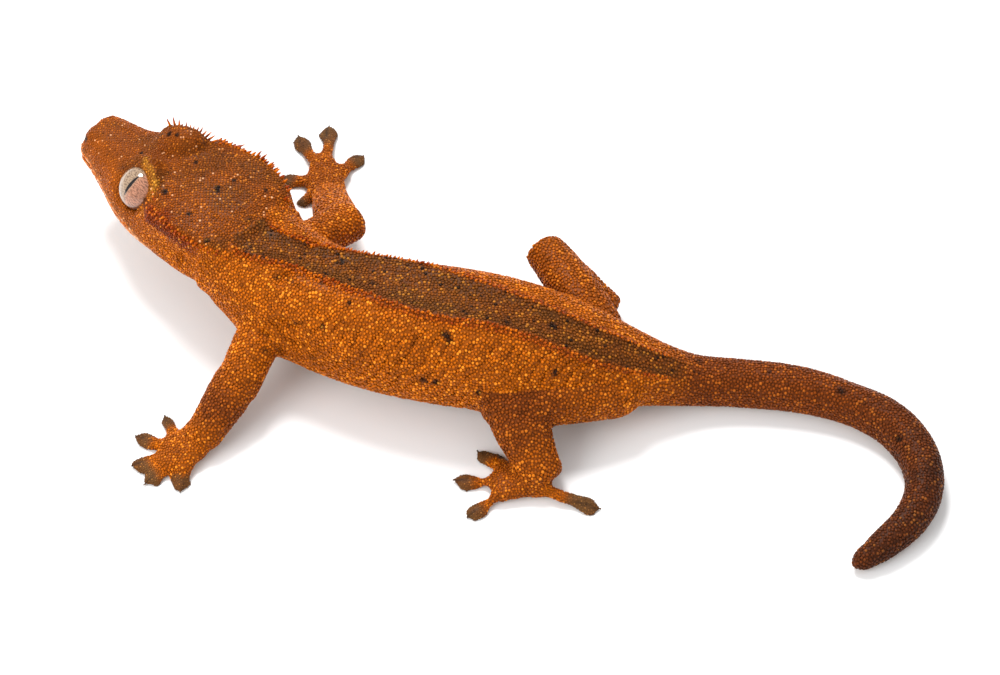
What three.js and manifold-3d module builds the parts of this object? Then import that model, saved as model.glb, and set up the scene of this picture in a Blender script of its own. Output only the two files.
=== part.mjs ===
// Crested gecko: a still, life-size model of a young adult, walking pose, tail curled to one side.
// Millimetres, +Z up. Floor at z = 0, origin under the middle of the whole animal.
// -X is roughly the way the animal faces, and -Y is its left side.
import * as THREE from "three";
import { mergeVertices } from "three/addons/utils/BufferGeometryUtils.js";
import Module from "manifold-3d";

const wasm = await Module();
wasm.setup();

// Driving dimensions.
const GAP = 0.3;
const BELLY_CLEARANCE = 1.2;
const TORSO_HALF_WIDTH = 10;
const TORSO_UP = 8.2;
const TORSO_DOWN = 8.6;
const TAIL_RADIUS = 3.2;
const TAIL_FLAT = 0.12;
const HEAD_LENGTH = 30.2;
const HEAD_HALF_WIDTH = 9.5;
const HEAD_HEADING = 140;
const HEAD_PITCH = 3;
const HEAD_BASE = [-36.4, 8.2, 14.2];
const EYE_RADIUS = 3.1;
const EYE_PLACE = [14.8, 4.4, 2.2];
const EYE_OUT = [0.22, 0.8, 0.52];
const LID_HEIGHT = 1.5;
const BROW = [4.4, 3.9, 4.9];
const MOUTH_CORNER = 10.5;
const TOE_PAD = { length: 4.9, width: 3.1, thick: 1 };
const SPINE_BASE = 0.36;

const rad = THREE.MathUtils.degToRad;
const lerp = THREE.MathUtils.lerp;
const clamp = THREE.MathUtils.clamp;
const vec = (p) => new THREE.Vector3(...p);
const bell = (x, middle, spread) => Math.exp(-(((x - middle) / spread) ** 2));

// Closed solids from three.js geometry, and back again.
function solid(geometry) {
  const bare = geometry.clone();
  bare.deleteAttribute("normal");
  bare.deleteAttribute("uv");
  const merged = mergeVertices(bare, 1e-4);
  const corners = new Uint32Array(merged.index.array);
  const make = () =>
    new wasm.Manifold(
      new wasm.Mesh({
        numProp: 3,
        vertProperties: new Float32Array(merged.attributes.position.array),
        triVerts: corners,
      }),
    );
  const made = make();
  if (made.volume() > 0) return made;
  for (let i = 0; i < corners.length; i += 3) {
    [corners[i + 1], corners[i + 2]] = [corners[i + 2], corners[i + 1]];
  }
  return make();
}

function largest(body) {
  const pieces = body.decompose();
  return pieces.reduce((best, piece) => (piece.volume() > best.volume() ? piece : best));
}

const join = (bodies) => bodies.reduce((whole, body) => whole.add(body));

const FLOOR = solid(new THREE.BoxGeometry(400, 400, 100).translate(0, 0, -50));

// A sweep along a row of stations {at, size: [half width, up, down]}: its middle line and its surface.
function track(rows) {
  const line = new THREE.CatmullRomCurve3(rows.map(vec), false, "catmullrom", 0.5);
  return (t) => line.getPoint(t);
}

function sweep(stations, { square = 2, shape = () => 1, grow = 0 } = {}) {
  const middle = track(stations.map((s) => s.at));
  const size = track(stations.map((s) => s.size));
  const surface = (t, angle, taper = 1) => {
    const ahead = middle(Math.min(1, t + 0.01)).sub(middle(Math.max(0, t - 0.01))).normalize();
    const side = new THREE.Vector3(0, 0, 1).cross(ahead).normalize();
    const up = ahead.clone().cross(side);
    const half = size(t);
    const c = Math.cos(angle);
    const k = Math.sin(angle);
    const scale = shape(t, angle) * taper;
    const y = (half.x + grow) * Math.sign(c) * Math.abs(c) ** (2 / square) * scale;
    const z = ((k > 0 ? half.y : half.z) + grow) * Math.sign(k) * Math.abs(k) ** (2 / square) * scale;
    return middle(t).addScaledVector(side, y).addScaledVector(up, z);
  };
  return { middle, surface };
}

// The sweep as a closed skin: a sphere whose rows are laid along it, rounded at the ends if asked.
function loft(stations, options = {}) {
  const { from = 0, to = 1, rows = 16, around = 14, domeStart = 0, domeEnd = 0 } = options;
  const { middle, surface } = sweep(stations, options);
  const halfway = middle((from + to) / 2);
  const span = middle(from).distanceTo(halfway) + halfway.distanceTo(middle(to));
  const dome = (length, travelled) => {
    if (!length || travelled >= length) return 1;
    return Math.sqrt(Math.max(0.02, 1 - (1 - travelled / length) ** 2));
  };
  const skin = new THREE.SphereGeometry(1, around, rows + 1);
  const point = skin.attributes.position;
  const unit = new THREE.Vector3();
  for (let i = 0; i < point.count; i++) {
    unit.fromBufferAttribute(point, i);
    const row = Math.round((Math.acos(clamp(unit.y, -1, 1)) / Math.PI) * (rows + 1));
    const pole = row === 0 || row === rows + 1;
    const share = clamp((row - 1) / (rows - 1), 0, 1);
    const eased = lerp(share, (1 - Math.cos(Math.PI * share)) / 2, 0.6);
    const turned = Math.atan2(unit.z, unit.x);
    const angle = Math.abs(turned) > Math.PI - 1e-6 ? Math.PI : turned;
    const taper = pole ? 0 : dome(domeStart, share * span) * dome(domeEnd, (1 - share) * span);
    const place = surface(lerp(from, to, domeStart || domeEnd ? eased : share), angle, taper);
    point.setXYZ(i, place.x, place.y, place.z);
  }
  return skin;
}

// Trunk: neck, torso and tail share one loft, and are parted where a person would part them.
const torso = (wide, up, down) => [TORSO_HALF_WIDTH * wide, TORSO_UP * up, TORSO_DOWN * down];
const tail = (share) => [TAIL_RADIUS * share, TAIL_RADIUS * share * 1.06, TAIL_RADIUS * share];
const bodyHeight = (down) => BELLY_CLEARANCE + TORSO_DOWN * down;
const tailHeight = (share) => TAIL_RADIUS * share - TAIL_FLAT;

const TRUNK = [
  { at: [-41, 11.6, 13.8], size: torso(0.68, 0.6, 0.58) },
  { at: [-36.6, 7.4, 12.9], size: torso(0.82, 0.73, 0.74) },
  { at: [-32.8, 3.2, 11.5], size: torso(0.87, 0.83, 0.86) },
  { at: [-28.4, 0, 10.2], size: torso(0.87, 0.9, 0.96) },
  { at: [-23, -3, bodyHeight(0.98)], size: torso(0.88, 0.97, 0.96) },
  { at: [-16, -5.5, bodyHeight(1)], size: torso(0.94, 1, 0.99) },
  { at: [-8.5, -7.2, bodyHeight(1.02)], size: torso(0.98, 1.02, 1.01) },
  { at: [-1, -8.4, bodyHeight(1)], size: torso(0.97, 0.98, 1) },
  { at: [6, -9.2, bodyHeight(0.93)], size: torso(0.86, 0.88, 0.93) },
  { at: [13, -9.9, bodyHeight(0.78)], size: torso(0.68, 0.72, 0.78) },
  { at: [19.5, -10.4, bodyHeight(0.56)], size: torso(0.5, 0.55, 0.58) },
  { at: [26.2, -10.5, 3.7], size: tail(1.08) },
  { at: [33.5, -10.6, tailHeight(1.02)], size: tail(1.02) },
  { at: [41.5, -11.5, tailHeight(0.98)], size: tail(0.98) },
  { at: [48.6, -13.6, tailHeight(0.95)], size: tail(0.95) },
  { at: [54, -17.2, tailHeight(0.92)], size: tail(0.92) },
  { at: [57.3, -22.2, tailHeight(0.88)], size: tail(0.88) },
  { at: [58, -27.6, tailHeight(0.82)], size: tail(0.82) },
  { at: [55.9, -32.7, tailHeight(0.75)], size: tail(0.75) },
  { at: [51.8, -36.8, tailHeight(0.62)], size: tail(0.62) },
  { at: [47, -40.2, tailHeight(0.4)], size: tail(0.4) },
];
const station = (index) => index / (TRUNK.length - 1);

// The two dorsolateral folds that carry the crest along the back, and the shallow trough between them.
// The animal leans a little, so the middle of its back is turned towards its right.
const BACK_ANGLE = 84;
const FOLD_SPREAD = 24;
const FOLDS = [BACK_ANGLE - FOLD_SPREAD, BACK_ANGLE + FOLD_SPREAD];
function backRidges(t, angle) {
  const degrees = THREE.MathUtils.radToDeg(angle);
  const fade = bell(t, station(4), station(6));
  const folds = bell(degrees, FOLDS[0], 13) + bell(degrees, FOLDS[1], 13);
  return 1 + fade * (0.07 * folds - 0.03 * bell(degrees, BACK_ANGLE, 16));
}

const TRUNK_FORM = { around: 24, square: 2.15, shape: backRidges };
const trunkPiece = (from, to, rows, options = {}) =>
  solid(loft(TRUNK, { from, to, rows, ...TRUNK_FORM, ...options }));
const wholeTrunk = (grow) => trunkPiece(0, 1, 50, { grow, domeEnd: 2 });

const CUT = 0.0013;
const NECK_END = station(3.1);
const VENT = station(10.8);
const TAIL_CUTS = [station(14), station(17)];

// Head, in its own frame: x from the nape to the snout, y to the animal's left, z up.
const HEAD = [
  { at: [-5, 0, -1.2], size: [HEAD_HALF_WIDTH * 0.76, 5.2, 4.6] },
  { at: [-1.5, 0, -1.2], size: [HEAD_HALF_WIDTH * 0.92, 6.5, 5.3] },
  { at: [2.5, 0, -1.3], size: [HEAD_HALF_WIDTH, 7.2, 5.5] },
  { at: [6.5, 0, -1.4], size: [HEAD_HALF_WIDTH, 7.4, 5.2] },
  { at: [10.5, 0, -1.6], size: [HEAD_HALF_WIDTH * 0.97, 7.2, 4.6] },
  { at: [14.5, 0, -1.7], size: [HEAD_HALF_WIDTH * 0.9, 6.6, 4] },
  { at: [18.5, 0, -1.7], size: [HEAD_HALF_WIDTH * 0.78, 5.7, 3.4] },
  { at: [22.5, 0, -1.6], size: [HEAD_HALF_WIDTH * 0.59, 5, 2.9] },
  { at: [26.4, 0, -1.4], size: [HEAD_HALF_WIDTH * 0.47, 4.7, 2.5] },
  { at: [HEAD_LENGTH, 0, -1], size: [HEAD_HALF_WIDTH * 0.38, 4.1, 2] },
];
const headStation = (x) => {
  const last = HEAD.length - 1;
  const index = HEAD.findIndex((s) => s.at[0] > x);
  if (index <= 0) return index === 0 ? 0 : 1;
  const low = HEAD[index - 1].at[0];
  return (index - 1 + (x - low) / (HEAD[index].at[0] - low)) / last;
};

// The crown is flat and its edges overhang the temples as the crest; the jowls swell below.
const CREST_ANGLE = 42;
function headShape(t, angle) {
  const degrees = THREE.MathUtils.radToDeg(angle);
  const leftOrRight = degrees > 90 || degrees < -90 ? 180 - Math.abs(degrees) : Math.abs(degrees);
  const above = degrees > 0;
  const crest = above ? 0.18 * bell(leftOrRight, CREST_ANGLE, 13) * bell(t, headStation(4), 0.34) : 0;
  const temple = above ? -0.09 * bell(leftOrRight, 12, 11) * bell(t, headStation(5), 0.2) : 0;
  const brow = above ? 0.1 * bell(leftOrRight, CREST_ANGLE + 4, 14) * bell(t, headStation(15.6), 0.09) : 0;
  return 1 + crest + temple + brow;
}

const headPlace = new THREE.Matrix4()
  .makeTranslation(...HEAD_BASE)
  .multiply(new THREE.Matrix4().makeRotationZ(rad(HEAD_HEADING)))
  .multiply(new THREE.Matrix4().makeRotationY(rad(HEAD_PITCH)));
const onHead = (geometry) => geometry.applyMatrix4(headPlace);

const HEAD_SQUARE = 2.45;
const HEAD_FORM = { rows: 25, around: 32, square: HEAD_SQUARE, shape: headShape, domeStart: 5, domeEnd: 3.4 };
const headLoft = (grow) => solid(onHead(loft(HEAD, { ...HEAD_FORM, grow })));

// A point on the head's surface, for what is cut or planted there. Angle 0 is level, 90 the crown.
const headSkin = sweep(HEAD, { square: HEAD_SQUARE, shape: headShape });
const headSurface = (x, degrees, side) => headSkin.surface(headStation(x), rad(side > 0 ? degrees : 180 - degrees));

const ellipsoid = (centre, radii, turn = 0) =>
  new THREE.SphereGeometry(1, 14, 9)
    .scale(...radii)
    .rotateZ(turn)
    .translate(...centre);

const SIDES = { left: 1, right: -1 };

const eyeCentre = (side) => new THREE.Vector3(EYE_PLACE[0], side * EYE_PLACE[1], EYE_PLACE[2]);
const eyeOut = (side) => new THREE.Vector3(EYE_OUT[0], side * EYE_OUT[1], EYE_OUT[2]).normalize();

function eyeBall(side, grow) {
  const turn = new THREE.Quaternion().setFromUnitVectors(new THREE.Vector3(0, 1, 0), eyeOut(side));
  const ball = new THREE.SphereGeometry(EYE_RADIUS + grow, 16, 10).applyQuaternion(turn);
  return solid(onHead(ball.translate(...eyeCentre(side).toArray())));
}

// The socket is cut off square to the eye's own axis, so that the lids end in a ring round the ball.
function eyeSocket(side) {
  const turn = new THREE.Quaternion().setFromUnitVectors(new THREE.Vector3(0, 1, 0), eyeOut(side));
  const opening = new THREE.CylinderGeometry(EYE_RADIUS + 1.6, EYE_RADIUS + 0.6, 4, 18).translate(0, 2 + LID_HEIGHT, 0);
  opening.applyQuaternion(turn).translate(...eyeCentre(side).toArray());
  return eyeBall(side, GAP).add(solid(onHead(opening)));
}

function mouthGroove() {
  const half = [];
  for (let x = MOUTH_CORNER; x < HEAD_LENGTH - 1.4; x += 1.6) {
    const rise = lerp(-26, -16, (x - MOUTH_CORNER) / (HEAD_LENGTH - MOUTH_CORNER));
    half.push(headSurface(x, rise, 1));
  }
  const tip = new THREE.Vector3(HEAD_LENGTH - 0.2, 0, -0.9);
  const shy = new THREE.Vector3(HEAD_LENGTH - 0.9, 1.9, -0.9);
  const mirrored = (p) => new THREE.Vector3(p.x, -p.y, p.z);
  const route = [...half, shy, tip, mirrored(shy), ...half.map(mirrored).reverse()];
  const path = new THREE.CatmullRomCurve3(route);
  const slit = new THREE.Shape([
    new THREE.Vector2(-0.24, -0.55),
    new THREE.Vector2(0.24, -0.55),
    new THREE.Vector2(0.24, 0.55),
    new THREE.Vector2(-0.24, 0.55),
  ]);
  return solid(onHead(new THREE.ExtrudeGeometry(slit, { steps: 26, extrudePath: path, bevelEnabled: false })));
}

// A spine: a thin cone whose root is sunk well into what it grows from.
function spine(root, direction, length, base = SPINE_BASE) {
  const sunk = 0.5;
  const cone = new THREE.ConeGeometry(base, length + sunk, 4).translate(0, (length + sunk) / 2 - sunk, 0);
  const turn = new THREE.Quaternion().setFromUnitVectors(new THREE.Vector3(0, 1, 0), direction.clone().normalize());
  return cone.applyQuaternion(turn).translate(root.x, root.y, root.z);
}

// Lash-like spines stand on the brow round the upper rim of the eye.
function lashes(side) {
  const out = eyeOut(side);
  const forward = new THREE.Vector3(1, 0, 0).addScaledVector(out, -out.x).normalize();
  const upward = new THREE.Vector3(0, 0, 1).addScaledVector(out, -out.z).normalize();
  return [-1.1, -0.7, -0.35, 0, 0.35, 0.7, 1.05].map((turn, i) => {
    const rim = upward.clone().multiplyScalar(Math.cos(turn)).addScaledVector(forward, -Math.sin(turn)).normalize();
    const root = eyeCentre(side).addScaledVector(rim, BROW[2] - 0.1).addScaledVector(out, 0.4);
    return solid(onHead(spine(root, rim.addScaledVector(out, 0.5), 0.8 + 0.25 * Math.sin(i * 2.4))));
  });
}

// The crest fringe runs from behind the eye back to the nape and is longest over the ear.
function crestSpines(side) {
  const spines = [];
  const count = 12;
  for (let i = 0; i < count; i++) {
    const share = i / (count - 1);
    const x = lerp(10.2, -2.6, share);
    const root = headSurface(x, lerp(CREST_ANGLE + 8, CREST_ANGLE, share), side);
    const length = 0.6 + 0.2 * Math.sin(i * 2.4) + 0.6 * bell(x, 1, 3.5);
    const lean = new THREE.Vector3(lerp(0.1, -0.45, share), side, 0.4);
    spines.push(solid(onHead(spine(root, lean, length))));
  }
  return spines;
}

// Small spines go on along both folds of the neck and back, dwindling towards the hips.
const trunkSkin = sweep(TRUNK, TRUNK_FORM);
function backSpines(from, to, count) {
  const spines = [];
  for (let i = 0; i < count; i++) {
    const t = lerp(from, to, (i + 0.5) / count);
    for (const fold of FOLDS) {
      const root = trunkSkin.surface(t, rad(fold));
      const lean = root.clone().sub(trunkSkin.middle(t)).normalize();
      const length = lerp(0.85, 0.35, t / station(9)) + 0.15 * Math.sin(i * 2.4);
      spines.push(solid(spine(root, lean, length)));
    }
  }
  return spines;
}

function buildHead() {
  const parts = [headLoft(0)];
  for (const side of Object.values(SIDES)) {
    const brow = ellipsoid([EYE_PLACE[0], side * (EYE_PLACE[1] - 0.3), EYE_PLACE[2] + 0.5], BROW);
    parts.push(solid(onHead(brow)), ...lashes(side), ...crestSpines(side));
  }
  let head = join(parts);
  for (const side of Object.values(SIDES)) {
    const nostril = ellipsoid([HEAD_LENGTH - 1.1, side * 2, 1.1], [0.55, 0.5, 0.4]);
    const ear = ellipsoid([3.2, side * (HEAD_HALF_WIDTH * 0.95), -0.4], [0.55, 1.2, 1]);
    head = head.subtract(solid(onHead(nostril))).subtract(solid(onHead(ear))).subtract(eyeSocket(side));
  }
  return largest(head.subtract(mouthGroove()));
}

// Limbs: each segment is a loft from joint to joint. It ends in a rounded joint that the next one grows from.
function segment(stations, grow = 0, options = {}) {
  const last = vec(stations.at(-1).at);
  const before = vec(stations.at(-2).at);
  const round = stations.at(-1).size[0];
  const end = last.clone().add(last.clone().sub(before).setLength(round));
  const rows = [...stations, { at: end.toArray(), size: stations.at(-1).size }];
  return solid(loft(rows, { rows: 9, around: 12, grow, domeEnd: round, square: 2.1, ...options }));
}

function toePad(size, grow) {
  const pad = new THREE.SphereGeometry(1, 8, 4).rotateX(Math.PI / 2);
  const point = pad.attributes.position;
  const half = new THREE.Vector3((TOE_PAD.length * size) / 2, (TOE_PAD.width * size) / 2, TOE_PAD.thick);
  half.addScalar(grow);
  for (let i = 0; i < point.count; i++) {
    const along = point.getX(i);
    const leaf = 1 - 0.16 * along - 0.12 * bell(along, -1, 0.5);
    const rise = Math.max(0, point.getZ(i)) * (1 - 0.25 * along);
    point.setXYZ(i, along * half.x, point.getY(i) * leaf * half.y, rise * half.z);
  }
  return pad.translate((-TOE_PAD.length * size) / 2 - 0.3, 0, 0);
}

function toe(root, { tip, pad = 1 }, grow = 0) {
  const end = new THREE.Vector3(...tip, 0);
  const base = vec(root).setZ(0);
  const heading = Math.atan2(end.y - base.y, end.x - base.x);
  const ahead = end.clone().sub(base).normalize();
  const along = (back, z) => end.clone().addScaledVector(ahead, -back).setZ(z).toArray();
  const digit = [
    { at: vec(root).toArray(), size: [1.3, 1, 1] },
    { at: along(pad * 5.4, 1.15), size: [1.15, 0.85, 0.95] },
    { at: along(pad * 3.2, 0.85), size: [0.74, 0.62, 0.7] },
    { at: along(pad * 0.4, 0.65), size: [0.55, 0.5, 0.6] },
  ];
  const nailBed = end.clone().setZ(0.62).addScaledVector(ahead, -0.5);
  return join([
    solid(loft(digit, { rows: 4, around: 6, grow })),
    solid(toePad(pad, grow).rotateZ(heading).translate(end.x, end.y, 0)),
    solid(spine(nailBed, ahead.clone().setZ(-0.5), 0.7 + grow, 0.26 + grow)),
  ]).subtract(FLOOR);
}

// Hand or foot: a low palm that fans into the roots of the toes.
function palm(foot, grow) {
  const wrist = vec(foot.wrist.at);
  const centre = vec(foot.palm);
  const roots = foot.toes.map((t) => {
    const knuckle = centre.clone().lerp(new THREE.Vector3(...t.tip, 1.2), t.reach ?? 0.36).setZ(1.2);
    const rows = [
      { at: [centre.x, centre.y, 1.5], size: [2.1, 1.1, 1.4] },
      { at: knuckle.toArray(), size: [1.4, 0.9, 1.1] },
    ];
    return segment(rows, grow, { rows: 3, around: 6 });
  });
  const heel = [
    foot.wrist,
    { at: wrist.clone().lerp(centre, 0.6).setZ(1.9).toArray(), size: [foot.wrist.size[0], 1.4, 1.8] },
    { at: centre.toArray(), size: [2.5, 1.15, 1.5] },
  ];
  return join([segment(heel, grow, { rows: 6 }), ...roots]).subtract(FLOOR);
}

// Joints, read off the pose: shoulder or hip, elbow or knee, wrist or ankle, palm and toe tips.
const LEGS = {
  left_arm: {
    upper: [
      { at: [-31.4, -2.6, 9.4], size: [3.9, 3.6, 3.8] },
      { at: [-33.9, -7.6, 8.4], size: [3.3, 3, 3] },
      { at: [-35.6, -11.5, 6.9], size: [3.1, 2.8, 2.8] },
    ],
    lower: [
      { at: [-35.6, -11.5, 6.9], size: [3.1, 2.8, 2.8] },
      { at: [-37.7, -14.5, 5.3], size: [3.2, 2.6, 2.6] },
      { at: [-40.3, -18.2, 3.3], size: [2.7, 2, 2.1] },
    ],
    foot: {
      wrist: { at: [-40.3, -18.2, 3.3], size: [2.7, 2, 2.1] },
      palm: [-43.6, -21.2, 1.6],
      toes: [
        { tip: [-47.1, -14.3], pad: 0.72 },
        { tip: [-50.9, -17.6] },
        { tip: [-51.1, -22.9] },
        { tip: [-49.1, -26.1], reach: 0.42 },
        { tip: [-43.6, -27.2], reach: 0.42 },
      ],
    },
  },
  right_arm: {
    upper: [
      { at: [-29.6, 5.5, 9.6], size: [3.4, 3.2, 3.4] },
      { at: [-26.4, 10.4, 9.4], size: [3.1, 2.9, 3] },
      { at: [-22.6, 13.6, 8.6], size: [2.9, 2.7, 2.7] },
    ],
    lower: [
      { at: [-22.6, 13.6, 8.6], size: [2.9, 2.7, 2.7] },
      { at: [-24.1, 18.4, 6], size: [3.1, 2.6, 2.6] },
      { at: [-24.9, 23.2, 3.4], size: [2.6, 2, 2.1] },
    ],
    foot: {
      wrist: { at: [-24.9, 23.2, 3.4], size: [2.6, 2, 2.1] },
      palm: [-25.6, 28, 1.6],
      toes: [
        { tip: [-30.3, 24.2], pad: 0.72 },
        { tip: [-33, 30] },
        { tip: [-30.6, 38] },
        { tip: [-26.1, 40] },
        { tip: [-20.6, 34.8], reach: 0.42 },
      ],
    },
  },
  left_leg: {
    upper: [
      { at: [14.5, -14.6, 6.8], size: [4, 3.6, 3.8] },
      { at: [7, -16.4, 7.6], size: [3.9, 3.5, 3.6] },
      { at: [0.4, -16.6, 8.2], size: [3.3, 3.1, 3.1] },
    ],
    lower: [
      { at: [0.4, -16.6, 8.2], size: [3.3, 3.1, 3.1] },
      { at: [3, -20.8, 6.2], size: [3.9, 2.9, 2.9] },
      { at: [5.1, -24.6, 3.6], size: [3.1, 2.2, 2.3] },
    ],
    foot: {
      wrist: { at: [5.1, -24.6, 3.6], size: [3.1, 2.2, 2.3] },
      palm: [2.2, -26.4, 1.6],
      toes: [
        { tip: [-0.2, -20.8], pad: 0.6 },
        { tip: [-3.1, -20.1], pad: 0.85 },
        { tip: [-6.5, -25.3] },
        { tip: [-4.7, -31.5] },
        { tip: [13.2, -30], reach: 0.3 },
      ],
    },
  },
  right_leg: {
    upper: [
      { at: [14, -4.6, 7.2], size: [3.6, 3.4, 3.6] },
      { at: [10.9, 1, 8.6], size: [3.5, 3.2, 3.3] },
      { at: [7.3, 6.8, 9.2], size: [2.9, 2.8, 2.8] },
    ],
    lower: [
      { at: [7.3, 6.8, 9.2], size: [2.9, 2.8, 2.8] },
      { at: [10.8, 5.2, 6.2], size: [2.9, 2.6, 2.6] },
      { at: [14.4, 3.6, 3.6], size: [2.5, 2, 2.1] },
    ],
    foot: {
      wrist: { at: [14.4, 3.6, 3.6], size: [2.5, 2, 2.1] },
      palm: [11.4, 2, 1.6],
      toes: [
        { tip: [8.4, 6.6], pad: 0.72 },
        { tip: [4.6, 4.8] },
        { tip: [2.8, 0.4] },
        { tip: [5.4, -4] },
        { tip: [15.6, -5], reach: 0.3 },
      ],
    },
  },
};

// Finishes.
const finish = (colour, roughness) => new THREE.MeshStandardMaterial({ color: colour, roughness, metalness: 0 });
const SKIN = finish(0xb5651d, 0.6);
const CROWN = finish(0x8a4f22, 0.6);
const TAIL_SKIN = finish(0x6e3a1c, 0.55);
const PAD = finish(0x7d6145, 0.7);
const IRIS = finish(0xb39a86, 0.15);

const parts = new Map();
const add = (name, body, material) => parts.set(name, { body: largest(body.subtract(FLOOR)), material });

const headGrown = headLoft(GAP);
const trunkGrown = wholeTrunk(GAP);

add("head", buildHead(), CROWN);
for (const [name, side] of Object.entries(SIDES)) {
  add(`eye_${name}`, eyeBall(side, 0), IRIS);
}
const neck = trunkPiece(0, NECK_END - CUT, 8);
const torsoBody = trunkPiece(NECK_END + CUT, VENT - CUT, 18);
add("neck", join([neck, ...backSpines(station(1), station(2.8), 5)]).subtract(headGrown), SKIN);
add("torso", join([torsoBody, ...backSpines(station(3.4), station(8.5), 15)]).subtract(headGrown), SKIN);
const tailEnds = [VENT, ...TAIL_CUTS, 1];
["tail_base", "tail_middle", "tail_tip"].forEach((name, i) => {
  const last = i === 2;
  const to = last ? 1 : tailEnds[i + 1] - CUT;
  add(name, trunkPiece(tailEnds[i] + CUT, to, 8, { around: 18, ...(last && { domeEnd: 2 }) }), TAIL_SKIN);
});

const SEGMENT_NAMES = { arm: ["upper_arm", "forearm", "hand"], leg: ["thigh", "shank", "foot"] };
const DIGITS = ["1", "2", "3", "4", "5"];
for (const [limb, joints] of Object.entries(LEGS)) {
  const [side, kind] = limb.split("_");
  const [upperName, lowerName, footName] = SEGMENT_NAMES[kind].map((n) => `${side}_${n}`);
  add(upperName, segment(joints.upper).subtract(trunkGrown).subtract(headGrown), SKIN);
  const upperGrown = segment(joints.upper, GAP);
  add(lowerName, segment(joints.lower).subtract(upperGrown).subtract(trunkGrown), SKIN);
  const lowerGrown = segment(joints.lower, GAP);
  add(footName, palm(joints.foot, 0).subtract(lowerGrown).subtract(upperGrown).subtract(trunkGrown), SKIN);
  const palmGrown = palm(joints.foot, GAP);
  let taken = palmGrown.add(lowerGrown);
  joints.foot.toes.forEach((t, i) => {
    const body = toe(joints.foot.palm, t).subtract(taken);
    add(`${footName}_toe_${DIGITS[i]}`, body, PAD);
    taken = join([taken, body, toe(joints.foot.palm, t, GAP)]);
  });
}

// The scene graph, moved so that the origin is under the middle of the whole animal.
const gecko = new THREE.Group();
for (const [name, { body, material }] of parts) {
  const mesh = body.getMesh();
  const geometry = new THREE.BufferGeometry();
  geometry.setAttribute("position", new THREE.BufferAttribute(mesh.vertProperties, 3));
  geometry.setIndex(new THREE.BufferAttribute(mesh.triVerts, 1));
  const node = new THREE.Mesh(geometry, material);
  node.name = name;
  gecko.add(node);
}
const box = new THREE.Box3().setFromObject(gecko);
const centre = box.getCenter(new THREE.Vector3());
gecko.position.set(-centre.x, -centre.y, -box.min.z);

export default gecko;
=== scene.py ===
"""Crested gecko: the looks of a still, life-size model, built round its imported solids.

One skin takes the place of the flesh. Granular scales, crest spines, lip scales, eyes and claws are
separate pieces over it, and skin and scales carry the same markings. Body measures are in
millimetres, in the frame of the solids, and the meshes are in metres.
"""

import math
from contextlib import contextmanager

import bpy
import numpy as np
from bpy.props import FloatProperty, FloatVectorProperty, IntProperty, PointerProperty
from mathutils import Matrix, Vector, noise
from mathutils.bvhtree import BVHTree


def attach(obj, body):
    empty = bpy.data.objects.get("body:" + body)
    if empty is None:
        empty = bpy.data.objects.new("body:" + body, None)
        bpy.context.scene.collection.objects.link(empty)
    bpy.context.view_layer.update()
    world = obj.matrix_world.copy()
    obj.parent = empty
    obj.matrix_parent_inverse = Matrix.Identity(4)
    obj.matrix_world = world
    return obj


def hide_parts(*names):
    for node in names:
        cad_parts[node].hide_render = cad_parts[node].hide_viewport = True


bl_info = {
    "name": "Crested Gecko Model",
    "version": (1, 0, 0),
    "blender": (4, 5, 0),
    "location": "View3D > Sidebar > Gecko",
    "description": "Dresses the solids of a crested gecko with skin, scales, crest, eyes and claws",
    "category": "Object",
}

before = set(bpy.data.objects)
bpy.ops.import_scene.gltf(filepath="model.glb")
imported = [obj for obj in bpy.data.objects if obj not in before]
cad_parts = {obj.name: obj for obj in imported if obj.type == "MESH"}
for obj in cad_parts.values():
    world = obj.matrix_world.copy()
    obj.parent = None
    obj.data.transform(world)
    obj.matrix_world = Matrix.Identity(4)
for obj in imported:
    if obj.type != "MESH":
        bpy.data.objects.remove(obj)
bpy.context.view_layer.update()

MM = 0.001
BAKE_MAP = "OFBake"
# The width of a scale's patch on the bake map, as a share of the map's.
PATCH = 0.003
SIDES = {"left": 1, "right": -1}
EYES = ["eye_left", "eye_right"]
FLESH = sorted(set(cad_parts) - set(EYES))
TOES = {index: name for index, name in enumerate(FLESH) if "_toe_" in name}
TRUNK_NODES = ["neck", "torso", "tail_base", "tail_middle", "tail_tip"]

# The solids' origin lies under the middle of the whole animal, this far from the body's own.
ORIGIN = np.array([0.110, 0.215, 0.0])

# The body's middle line from the nape to the tip of the tail, one point a station.
MIDDLE_LINE = [
    (-41, 11.6, 13.8), (-36.6, 7.4, 12.9), (-32.8, 3.2, 11.5), (-28.4, 0, 10.2), (-23, -3, 9.63),
    (-16, -5.5, 9.8), (-8.5, -7.2, 9.97), (-1, -8.4, 9.8), (6, -9.2, 9.2), (13, -9.9, 7.91),
    (19.5, -10.4, 6.02), (26.2, -10.5, 3.7), (33.5, -10.6, 3.14), (41.5, -11.5, 3.02),
    (48.6, -13.6, 2.92), (54, -17.2, 2.82), (57.3, -22.2, 2.7), (58, -27.6, 2.5),
    (55.9, -32.7, 2.28), (51.8, -36.8, 1.86), (47, -40.2, 1.16),
]
HEAD_BASE = np.array([-36.4, 8.2, 14.2])
HEAD_HEADING = 140
HEAD_PITCH = 3
HEAD_LENGTH = 30.2
HEAD_TURN = np.array(
    (Matrix.Rotation(math.radians(HEAD_HEADING), 3, "Z") @ Matrix.Rotation(math.radians(HEAD_PITCH), 3, "Y"))
)

# The muscle behind the left thigh: its middle, its half sizes and its heading.
HIP = (15.5, -15.8, 6.5)
HIP_SIZE = (4.4, 2.5, 3.0)
HIP_HEADING = 14

EYE_PLACE = (14.95, 4.6, 2.5)
EYE_OUT = (0.18, 0.74, 0.64)
EYE_RADIUS = 3.2

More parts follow.
